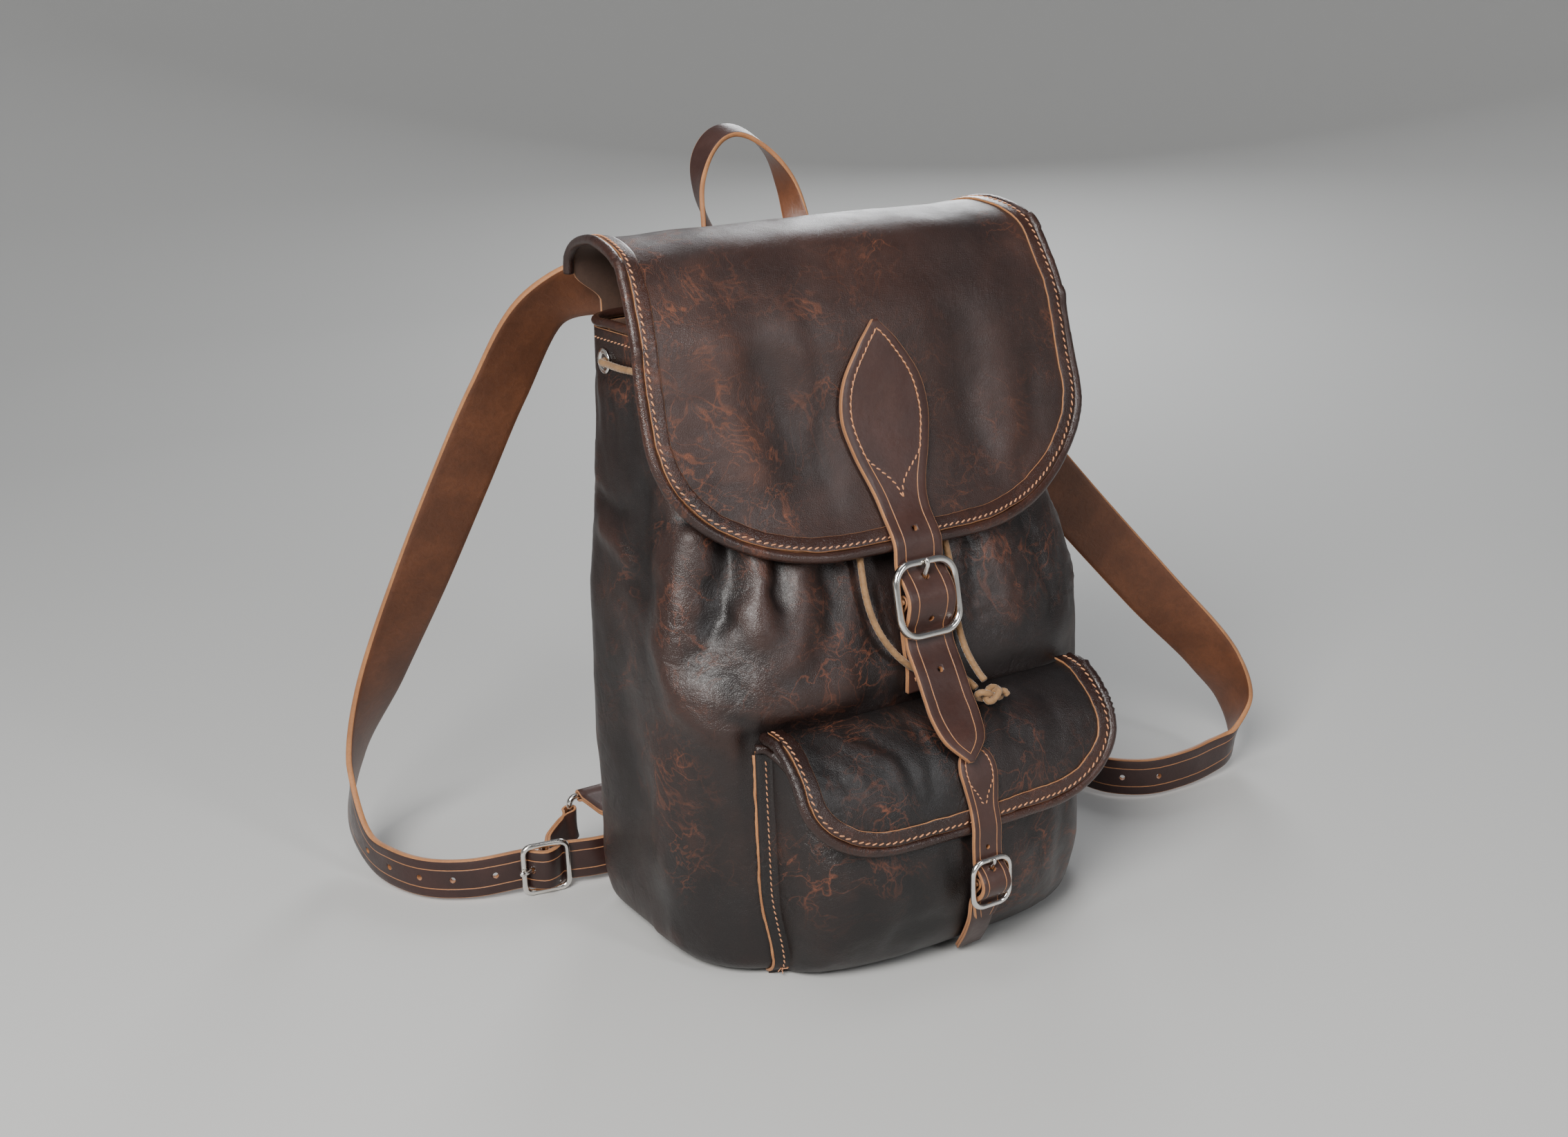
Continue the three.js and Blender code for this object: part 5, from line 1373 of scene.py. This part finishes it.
def make_closing_strap():
    front = V(0, -1, 0)
    lean = V(0, -0.86, 0.5)
    stations = leaf_stations() + [(V(0, -73.3, 238), front, BILLET_WIDTH)]
    stations += [(at, front, BILLET_WIDTH)
                 for at in threaded(MAIN_PLACE, MAIN_BUCKLE, STRAP_LEATHER, MAIN_CROWN)]
    tail = [(-0.1, -84.6, 180.2, BILLET_WIDTH), (-1, -94.6, 167.5, BILLET_WIDTH),
            (-2, -103.5, 155.5, BILLET_WIDTH),
            (-3, -112, 146, BILLET_WIDTH), (-4, -122, 135.4, 25), (-5, -128.8, 125.6, 3)]
    stations += [(V(x, y, z), lean, width) for x, y, z, width in tail]
    band = ribbon(stations, 2.0)
    obj = strap("closing_strap", band, STRAP_LEATHER, [STRAP, EDGE, FLESH], None, 12, 0.12,
                replaces=["flap_strap", "strap_tail"], slot="strap_leather")
    holes = [(on_place(MAIN_PLACE, 0, MAIN_BUCKLE["half_height"] * 0.58, 1.8), V(0, -0.72, 0.69), 2.4),
             (V(0, -67, 243), V(0, -0.9, 0.45), 1.7), (V(0, -86, 196), V(0, -1, 0), 1.7),
             (V(-1, -94, 168.3), lean, 1.7)]
    punch(obj, holes)
    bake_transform(obj)
    leaf_seam("leaf_stitches", band, 6.0, STRAP_LEATHER, 262, (0.74, 0.9), FLAP, waist=2, pitch=4.0, length=3.0,
              radius=0.46)


make_closing_strap()
buckle("main_buckle_frame", MAIN_PLACE, MAIN_BUCKLE, "main_buckle_body", ["main_buckle"])
prong("main_buckle_prong", MAIN_PLACE, MAIN_BUCKLE, MAIN_CROWN, "main_prong_body", ["main_prong"])


def make_main_chape():
    bar = MAIN_PLACE["bar"]
    line = [bar, V(0, bar[1] + 1.4, 200), V(0, -77.8, 193), V(0, -78.4, 187), V(0, front_at(0, 178) - 2.4, 178),
            V(0, front_at(0, 168) - 2.6, 168), V(0, front_at(0, 154) - 2.6, 154)]
    folded_strip("main_chape", line, X_AXIS, MAIN_BUCKLE["bar"], 1.5, 30, BAG, ["buckle_chape"])
    for side in (-1, 1):
        sewn = np.array([(side * 10.5, front_at(0, z) - 4.15, z) for z in np.linspace(186, 160, 14)])
        stitches(f"main_chape_stitches_{SIDES[side]}", sewn, V(0, -1, 0), BAG)


make_main_chape()


# ---- front pocket ----
POCKET_MARGIN = 8.0  # the sewn sides of the pocket, which lie flat on the bag
POCKET_RISE = 22.0  # how far the mouth climbs to its sewn ends


def pocket_edge(z):
    """Half the pocket's width at a height."""
    return 103 + 7 * smoothstep(0, 60, z)


def pocket_top(x):
    """The height of the pocket's mouth."""
    share = np.abs(x) / pocket_edge(POCKET["top"])
    return POCKET["top"] + POCKET_RISE * smoothstep(0.8, 0.965, share)


def pocket_surface(x, level):
    """The pocket's outer side: a flat sewn margin, then the bulge."""
    depth = along(POCKET_DEPTH, level)
    share = np.clip(np.abs(x) / (pocket_edge(level) - POCKET_MARGIN), 0, 1)
    swell = np.sqrt(np.clip(1 - share ** 3, 0, 1))
    flat = LEATHER + 0.5
    return front_at(x, level) - GAP - np.maximum(flat, depth * swell)


# Dents of the pocket and of its flap, as FOLDS, but lines of (x, height) and of (x, length from the hinge).
POCKET_DENTS = [
    ([(-84, 100), (-70, 70), (-66, 30)], 9, -2.0),
    ([(-50, 95), (-42, 60), (-52, 25)], 10, -1.6),
    ([(-66, 20), (-30, 34), (20, 24)], 8, -1.8),
    ([(36, 95), (44, 60), (38, 28)], 9, -1.8),
    ([(72, 90), (66, 50), (74, 20)], 9, -1.8), ([(-20, 80), (-14, 40)], 7, -1.2),
]
POCKET_FLAP_DENTS = [
    ([(-74, 18), (-52, 34), (-40, 60)], 4, 0.9),
    ([(-60, 10), (-44, 40), (-34, 66)], 4, -1.0),
    ([(-28, 12), (-22, 40), (-28, 70)], 4, -0.9), ([(-20, 20), (-14, 48)], 4, 0.6),
    ([(34, 20), (30, 50)], 6, -0.9),
    ([(60, 14), (66, 40), (58, 64)], 7, -0.8), ([(-88, 30), (-76, 52)], 6, -0.8),
]


def pocket_relief(x, z):
    relief = 0.9 * noise2(x / 34, z / 38, 61) + 0.35 * noise2(x / 13, z / 15, 62) - 0.8
    relief = creased(relief, x, z, POCKET_DENTS)
    strap_zone = 1 - smoothstep(12, 24, np.abs(x))
    relief = np.where(relief > -0.3, relief * (1 - strap_zone) - 0.3 * strap_zone, relief)
    inner = pocket_edge(z) - POCKET_MARGIN
    margin = 1 - smoothstep(inner - 14, inner - 1, np.abs(x))
    return relief * margin * smoothstep(2, 12, z)


def make_pocket():
    columns = int(2 * 105 / PITCH * 1.15)
    bulge = -0.925 * np.cos(np.linspace(0, np.pi, columns))
    share = np.concatenate([np.linspace(-1, -0.94, 4), bulge, np.linspace(0.94, 1, 4)])
    foot = 5  # rows that are drawn in under the pocket
    heights = np.concatenate([np.zeros(foot), np.linspace(0, 1, int(125 / PITCH))[1:]])
    rows = []
    for k, v in enumerate(heights):
        x = share * pocket_edge(POCKET["bottom"] + v * 115)
        z = POCKET["bottom"] + v * (pocket_top(x) - POCKET["bottom"])
        x = share * pocket_edge(z)
        y = pocket_surface(x, z)
        if k < foot:
            drawn = math.sin(math.pi / 8 * k)
            back = front_at(x, z) - GAP - LEATHER
            y = back + (y - back) * drawn
            z = z - 1.7 * (1 - drawn)
        rows.append(np.stack([x, y, z], axis=1))
    grid = np.array(rows)
    relief = pocket_relief(grid[..., 0], grid[..., 2])
    grid = grid + grid_normals(grid) * relief[..., None]
    grid[..., 2] = np.maximum(grid[..., 2], 0.35)
    normals = grid_normals(grid)
    shell("pocket_leather", grid, POCKET_LOOK, BAG, ["pocket_panel"], curved(relief))
    surface = grid[foot + 1:], normals[foot + 1:]
    for side, name in SIDES.items():
        z = np.linspace(3.5, 134, 70)
        x = side * (pocket_edge(z) - 5.2)
        line, facing = settle(np.stack([x, pocket_surface(x, z), z], axis=1), *surface, 0.1)
        stitches(f"pocket_seam_{name}", line, facing, BAG, pitch=3.5, length=2.5, radius=0.4)
        # raw cut edge along the margin
        z = np.linspace(1.5, 137, 100)
        x = pocket_edge(z) + 0.25 * noise1(z / 4, 63 + side)
        edge = np.stack([side * x, front_at(x, z) - GAP - 1.5, z], axis=1)
        look = np.tile(unit(V(side * 0.8, -0.6, 0)), (len(edge), 1))
        band = {"at": edge, "face": look, "across": unit(np.cross(tangents(edge), look)),
                "half": 0.85 + 0.12 * noise1(z / 3, 65)}
        strap(f"pocket_cut_edge_{name}", band, 0.8, [EDGE, EDGE, EDGE], BAG, 2, slot="hide")
        # loose thread ends at the foot of the seam
        x = side * float(pocket_edge(4) - 5)
        y = float(pocket_surface(np.array(x), 4.0)) - 0.3
        for k, (dx, dy, dz) in enumerate(((1.5, -3.5, 1.4), (-2.5, -3.0, 2.2), (3.5, -2.0, 0.6),
                                          (-5, -2.5, -0.5))):
            root = V(x, y, 3.4 + k * 0.9)
            path = Curve([root, root + V(side * dx * 0.3, dy * 0.5, dz * 0.3),
                          root + V(side * dx, dy, dz - 1.2)])
            tube(f"pocket_thread_{name}_{k + 1}", path.at(np.linspace(0, 1, 9)), 0.28, THREAD, BAG, 6)
    # rolled rim and its stitches
    turn = np.linspace(-1, 1, 120) * math.pi / 2 * 0.965
    x = np.sign(turn) * np.abs(np.sin(turn)) ** (2 / 3) * pocket_edge(POCKET["top"])
    z = pocket_top(x)
    rim = np.stack([x, pocket_surface(x, z) + LEATHER / 2, z + GAP + ROLL * 0.6], axis=1)
    rim[:, 1] = np.minimum(rim[:, 1], front_at(x, z) - ROLL - 0.9)
    rim = resample(rim, 1.5)
    tube("pocket_rim", rim, ROLL + 0.1 * noise1(np.arange(len(rim)) / 3, 71), BINDING, BAG, 14,
         hint=V(0, -1, 0),
         replaces=["pocket_binding"], slot="binding")
    x = np.linspace(-97, 97, 160)
    z = pocket_top(x) - 4.5
    line, facing = settle(np.stack([x, pocket_surface(x, z), z], axis=1), *surface, 0.15)
    stitches("pocket_rim_stitches", line, facing, BAG, pitch=3.8, radius=0.38)


make_pocket()

POCKET_FLAP_CURVE = Curve([(0, y, z) for y, z in POCKET_FLAP_PROFILE])


def pocket_flap_length(u):
    return rounded_length(POCKET_FLAP_CURVE.length, POCKET_FLAP_CORNER, u)


def pocket_flap_point(u, s):
    """The pocket flap's smooth outer side at a share across it and a length from its hinge."""
    v = s / pocket_flap_length(u)
    p = POCKET_FLAP_CURVE.at_length(s)
    back = POCKET_FLAP_PROFILE[0][0]
    p[:, 0] = u * POCKET_FLAP_HALF_WIDTH
    p[:, 1] = back + (p[:, 1] - back) * (1 - 0.14 * u * u)
    clear = front_at(p[:, 0], p[:, 2]) - front_at(0, p[:, 2])
    p[:, 1] += clear * np.maximum(0, 1 - v * 4)
    return p


def make_pocket_flap():
    cols = int(2 * POCKET_FLAP_HALF_WIDTH / PITCH * 1.1)
    rows = int(POCKET_FLAP_CURVE.length / PITCH * 1.2)
    u = np.sin(np.linspace(np.pi / 2, -np.pi / 2, cols))
    uu, vv = np.meshgrid(u, np.linspace(0, 1, rows))
    s = vv * pocket_flap_length(uu)
    grid = pocket_flap_point(uu.ravel(), s.ravel()).reshape(rows, cols, 3)
    x = grid[..., 0]
    relief = 0.45 * noise2(x / 30, s / 26, 81) + 0.3 * noise2(x / 10, s / 12, 82) - 0.35
    relief = creased(relief, x, s, POCKET_FLAP_DENTS, 2 * noise2(x / 9, s / 9, 83))
    strap_zone = 1 - smoothstep(18, 28, np.abs(x))
    high = relief * (1 - strap_zone) - 0.2 * strap_zone
    relief = np.where(relief > -0.2, high, relief * (1 - 0.5 * strap_zone))
    front_edge = smoothstep(0, 8, (1 - vv) * pocket_flap_length(uu))
    side_edge = smoothstep(0, 8, (1 - np.abs(uu)) * POCKET_FLAP_HALF_WIDTH)
    relief = relief * (np.minimum(front_edge, side_edge) * smoothstep(0, 8, s))
    grid = grid + grid_normals(grid) * relief[..., None]
    shell("pocket_flap_leather", grid, POCKET_LOOK, POCKET_FLAP, ["pocket_flap_panel"], curved(relief))
    line = edge_line(pocket_flap_point, pocket_flap_length, 30, 90)
    flap_edge("pocket_flap_edge", line, grid, POCKET_FLAP, ["pocket_flap_binding"])


make_pocket_flap()

POCKET_PLACE = place_of(V(0, -137.6, 57), X_AXIS, Z_AXIS, V(0, -1, 0))
POCKET_CROWN = 7.4


def make_pocket_strap():
    front = V(0, -1, 0)
    width, leaf, thickness = 19, 24, 2.6
    stations = []
    for s, wide in ((40, 3), (47, 19), (54, leaf), (62, 23), (75, width)):
        p = POCKET_FLAP_CURVE.at_length([s - 0.4, s, s + 0.4])
        face = unit(np.cross(p[2] - p[0], X_AXIS))
        at = p[1] + face * (GAP + thickness / 2)
        at[0] = 1.5
        stations.append((at, face, wide))
    stations += [(V(1, -134.8, 88), front, width), (V(0.5, -135.4, 80), front, width)]
    stations += [(at, front, width) for at in threaded(POCKET_PLACE, POCKET_BUCKLE, thickness, POCKET_CROWN)]
    stations.append((V(0, -133.6, 34), front, width - 6))
    band = ribbon(stations, 1.6)
    obj = strap("pocket_flap_strap", band, thickness, [SMALL_STRAP, EDGE, FLESH], POCKET_FLAP, 10, 0.1,
                replaces=["pocket_strap"], slot="strap_leather")
    punch(obj, [(on_place(POCKET_PLACE, 0, POCKET_BUCKLE["half_height"] * 0.6, 3.2), V(0, -0.8, 0.6), 1.9),
                (V(0, -136, 77), V(0, -1, 0), 1.3), (V(0, -141, 47.5), V(0, -1, 0), 1.3)])
    leaf_seam("pocket_leaf_stitches", band, 3.6, thickness, 99, (0.55, 0.8), POCKET_FLAP, pitch=2.9, length=2.0,
              radius=0.38)


make_pocket_strap()
buckle("pocket_buckle_frame", POCKET_PLACE, POCKET_BUCKLE, "pocket_buckle_body", ["pocket_buckle"])
prong("pocket_buckle_prong", POCKET_PLACE, POCKET_BUCKLE, POCKET_CROWN, "pocket_prong_body", ["pocket_prong"])
folded_strip("pocket_chape_strip", [POCKET_PLACE["bar"], V(0, -135.4, 51.5), V(0, -132, 43.5), V(2, -127.4, 31),
                                    V(4, -119.4, 17), V(6, -110.4, 5.2)],
             X_AXIS, POCKET_BUCKLE["bar"], 1.5, 16, BAG, ["pocket_chape"])


# ---- handle ----
def make_handle():
    """The handle: a loop of strap, which leans from where it is sewn on."""
    width = 16
    rise = [((28, 85.5, 350), (0, 1, 0)), ((28.3, 85.5, 366), (0, 1, 0)), ((28.5, 86.2, 375), (0, 1, 0)),
            ((30, 89.5, 388), (0.35, 0.9, -0.2)), ((31, 95.5, 402), (0.75, 0.6, -0.2)),
            ((30, 104, 420), (1, 0.2, 0)),
            ((23, 111.5, 438), (0.8, -0.2, 0.6)), ((11, 116, 449), (0.4, -0.3, 0.9))]
    right = [(V(*at), V(*face), width) for at, face in rise]
    left = [(at * V(-1, 1, 1), face * V(-1, 1, 1), w) for at, face, w in right]
    band = ribbon(left + [(V(0, 117, 452), V(0, -0.3, 0.95), width)] + right[::-1], 2.2)
    obj = strap("handle_strap", band, STRAP_LEATHER, STRIP_LOOKS, None, 8, 0.1,
                replaces=["handle_loop", "handle_end_left", "handle_end_right"], slot="strap_leather")
    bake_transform(obj)
    for side in (-1, 1):
        corners = ((-5.5, 352), (5.5, 352), (5.5, 364), (-5.5, 364), (-5.5, 352))
        line = resample([(side * 28 + x, 87.15, z) for x, z in corners], 1.5)
        stitches(f"handle_stitches_{SIDES[side]}", line, V(0, 1, 0), BAG,
                 pitch=3.2, length=2.2)


make_handle()

# ---- shoulder straps ----
WIDE, TONGUE = 38, 25
STRAP_CROWN = 6.6
HOLE_PITCH = 24.5
SAG = 6  # how far the middle of a chape hangs from the line between its bar and ring


def strap_place(bar, up):
    """The place of a shoulder strap's buckle, which lies on its side with its bar upright."""
    out = np.cross(up, Z_AXIS) * (-1 if bar[0] < 0 else 1)
    return place_of(bar, Z_AXIS, up, out)


# The rows are stations of each strap from its root to its buckle: place, face and width.
LEFT = {
    "name": "left", "side": -1, "place": strap_place(V(-162.9, 99.4, 17.4), unit(V(-0.985, 0.17, 0))),
    "rows": [[-65, 84.2, 364, 0, 1, 0, WIDE], [-80, 87.5, 369, 0, 1, 0.1, WIDE],
             [-104, 97, 372, 0.05, 0.95, 0.3, WIDE],
             [-132, 112, 360, 0, 0.85, 0.5, WIDE], [-155, 135, 310, 0.05, 0.92, 0.35, WIDE],
             [-174, 160, 253, 0.1, 0.93, 0.3, WIDE], [-195, 185, 190, 0, 0.95, 0.25, WIDE],
             [-220, 208, 120, -0.35, 0.9, 0.2, WIDE], [-239, 217, 66, -0.8, 0.5, 0.1, WIDE],
             [-247, 204, 36, -1, 0.1, 0, 36], [-246, 182, 19, -1, 0, 0, TONGUE],
             [-240, 155, 15.5, -0.95, -0.2, 0, TONGUE],
             [-227, 130, 15, -0.8, -0.5, 0, TONGUE], [-205, 113, 15.5, -0.5, -0.9, 0, TONGUE]],
    "tail": [[-132, 93.6, 17.4], [-113, 91, 17.4]],
}
RIGHT = {
    "name": "right", "side": 1, "place": strap_place(V(171.4, 85.4, 17.4), unit(V(0.9, -0.436, 0))),
    "rows": [[65.5, 84.2, 364, 0, 1, 0, WIDE], [80, 87.5, 367, 0, 1, 0.1, WIDE],
             [122, 98, 330, 0.1, 0.95, 0.3, WIDE],
             [167, 85, 270, 0.25, 0.9, 0.3, WIDE], [217, 60, 200, 0.35, 0.85, 0.3, WIDE],
             [270, 32, 130, 0.5, 0.8, 0.3, WIDE],
             [313, 12, 76, 0.8, 0.5, 0.3, WIDE], [325, 2, 44, 1, -0.1, 0.1, 36],
             [312, -8, 21, 0.7, -0.7, 0, TONGUE],
             [286, -12, 16, 0.1, -1, 0, TONGUE], [258, -14, 15, -0.1, -1, 0, TONGUE],
             [232, -10, 15, -0.25, -0.97, 0, TONGUE],
             [213, 6, 15.5, -0.8, -0.6, 0, TONGUE], [206, 32, 16, -1, 0, 0, TONGUE],
             [201, 58, 16.5, -0.9, -0.4, 0, TONGUE]],
    "tail": [[148.2, 95.4, 17.4], [139.5, 98.6, 17.4]],
}


def make_shoulder_strap(spec):
    """A shoulder strap with its buckle, and the chape, ring and tab that hold the buckle to the bag."""
    name, side, place = spec["name"], spec["side"], spec["place"]
    body = f"{name}_strap_body"
    root = [(V(side * x, 81.2 + k * k * 0.35, z), V(0, 1, 0), WIDE)
            for k, (x, z) in enumerate(((12, 346), (34, 353), (61, 362.5)))]
    through = [(at, place["out"], TONGUE)
               for at in threaded(place, STRAP_BUCKLE, SHOULDER_LEATHER, STRAP_CROWN)]
    rows = [(V(*r[:3]), V(*r[3:6]), r[6]) for r in spec["rows"]]
    tail = [(V(*t), place["out"], TONGUE) for t in spec["tail"]]
    band = ribbon(root + rows + through + tail, 3.2)
    obj = strap(f"{name}_shoulder_strap", band, SHOULDER_LEATHER, [SHOULDER, EDGE, FLESH], None, 10, 0.12,
                replaces=[f"{name}_strap", f"{name}_strap_root"], slot="shoulder_leather")
    hole = on_place(place, 0, STRAP_BUCKLE["half_height"] * 0.6, 2.2)
    holes = [(hole, place["out"] + place["up"] * 0.62, 2.3)]
    steps = run_length(band["at"])
    at_hole = steps[np.argmin(np.linalg.norm(band["at"] - hole, axis=1))]
    for k in range(1, 6):
        row = int(np.argmin(np.abs(steps - (at_hole - HOLE_PITCH * k))))
        holes.append((band["at"][row], band["face"][row], 1.9))
    punch(obj, holes)
    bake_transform(obj)
    sewn = resample([(side * 14, 82.9, 335), (side * 40, 83.3, 345), (side * 54, 83.6, 349)], 2)
    stitches(f"{name}_root_stitches", sewn + V(0, 0.5, 0), V(0, 1, 0), BAG, pitch=3.6)
    buckle(f"{name}_buckle_frame", place, STRAP_BUCKLE, body, [f"{name}_buckle"])
    prong(f"{name}_buckle_prong", place, STRAP_BUCKLE, STRAP_CROWN, f"{name}_prong_body",
          [f"{name}_prong"], ball=1.9)
    x = side * 116
    ring_place = place_of(V(x, 126, 28), X_AXIS, Z_AXIS, V(0, -1, 0))
    loop = rounded_loop(ring_place, RING, 0)
    tube(f"{name}_strap_ring", loop, RING["wire"], METAL, BAG, 18, True, ring_place["out"],
         replaces=[f"{name}_ring"],
         slot="nickel")
    wire = V(side * (116 + RING["half_width"]), 126, 28)
    bar_at = place["bar"]
    halfway = bar_at + (wire - bar_at) * 0.3 - place["out"] * SAG
    line = [bar_at, bar_at + (halfway - bar_at) * 0.6, halfway, wire + (halfway - wire) * 0.3, wire]
    folded_strip(f"{name}_chape_strip", line, Z_AXIS, STRAP_BUCKLE["bar"], 1.7, 20.5, body, [f"{name}_chape"],
                 far_eye=2.4)
    tab = [V(x, 126, 45), V(x, 119, 45), V(x, 106, 45.2), V(x, 93, 45.6), V(x, 84.6, 48.4), V(x, 82.4, 55),
           V(x, 82.6, 67)]
    folded_strip(f"{name}_ring_tab", tab, X_AXIS, RING["wire"], 1.6, 20, BAG, [f"{name}_tab"])


make_shoulder_strap(LEFT)
make_shoulder_strap(RIGHT)


# ---- floor and light ----
def make_floor():
    """A pale studio floor that sweeps up far from the bag."""
    profile = [(0, 0), (0.5, 0), (1.0, 0), (1.5, 0.01), (1.9, 0.07), (2.3, 0.22), (2.65, 0.48),
               (2.9, 0.85), (3.0, 1.3)]
    sides = 64
    points = [(0, 0, 0)]
    for r, z in profile[1:]:
        points += [(r * math.cos(a), r * math.sin(a), z)
                   for a in np.linspace(0, 2 * np.pi, sides, endpoint=False)]
    faces = [(0, 1 + j, 1 + (j + 1) % sides) for j in range(sides)]
    for k in range(len(profile) - 2):
        low, high = 1 + k * sides, 1 + (k + 1) * sides
        faces += [(low + j, high + j, high + (j + 1) % sides, low + (j + 1) % sides)
                  for j in range(sides)]
    mesh = bpy.data.meshes.new("floor")
    mesh.from_pydata(points, [], faces)
    floor = add_object("floor", mesh)
    look = Look("pale_floor")
    mesh.materials.append(look.finish(Base_Color=rgb(0.55, 0.55, 0.54), Roughness=0.85, Specular_IOR_Level=0.2))


def area_light(name, at, target, size, power, colour=(1, 1, 1)):
    data = bpy.data.lights.new(name, "AREA")
    data.shape, data.size, data.size_y = "RECTANGLE", size[0], size[1]
    data.energy, data.color = power, colour
    light = bpy.data.objects.new(name, data)
    bpy.context.collection.objects.link(light)
    light.location = at
    light.rotation_euler = (Vector(target) - Vector(at)).to_track_quat("-Z", "Y").to_euler()


def make_lights():
    area_light("key", (-1.25, -0.95, 1.35), (0, 0, 0.24), (0.9, 0.9), 54, (1.0, 0.985, 0.96))
    area_light("front", (0.5, -1.9, 1.1), (0, 0, 0.2), (0.3, 1.1), 12, (0.97, 0.98, 1.0))
    area_light("top", (-0.2, 0.1, 1.9), (0, 0, 0.25), (0.8, 0.8), 5)
    area_light("back", (1.2, 1.5, 1.1), (0, 0, 0.25), (0.6, 1.0), 18, (0.96, 0.98, 1.0))
    world = bpy.data.worlds.new("studio")
    world.use_nodes = True
    world.node_tree.nodes["Background"].inputs[0].default_value = (0.9, 0.93, 1.0, 1)
    world.node_tree.nodes["Background"].inputs[1].default_value = 0.15
    bpy.context.scene.world = world


make_floor()
make_lights()
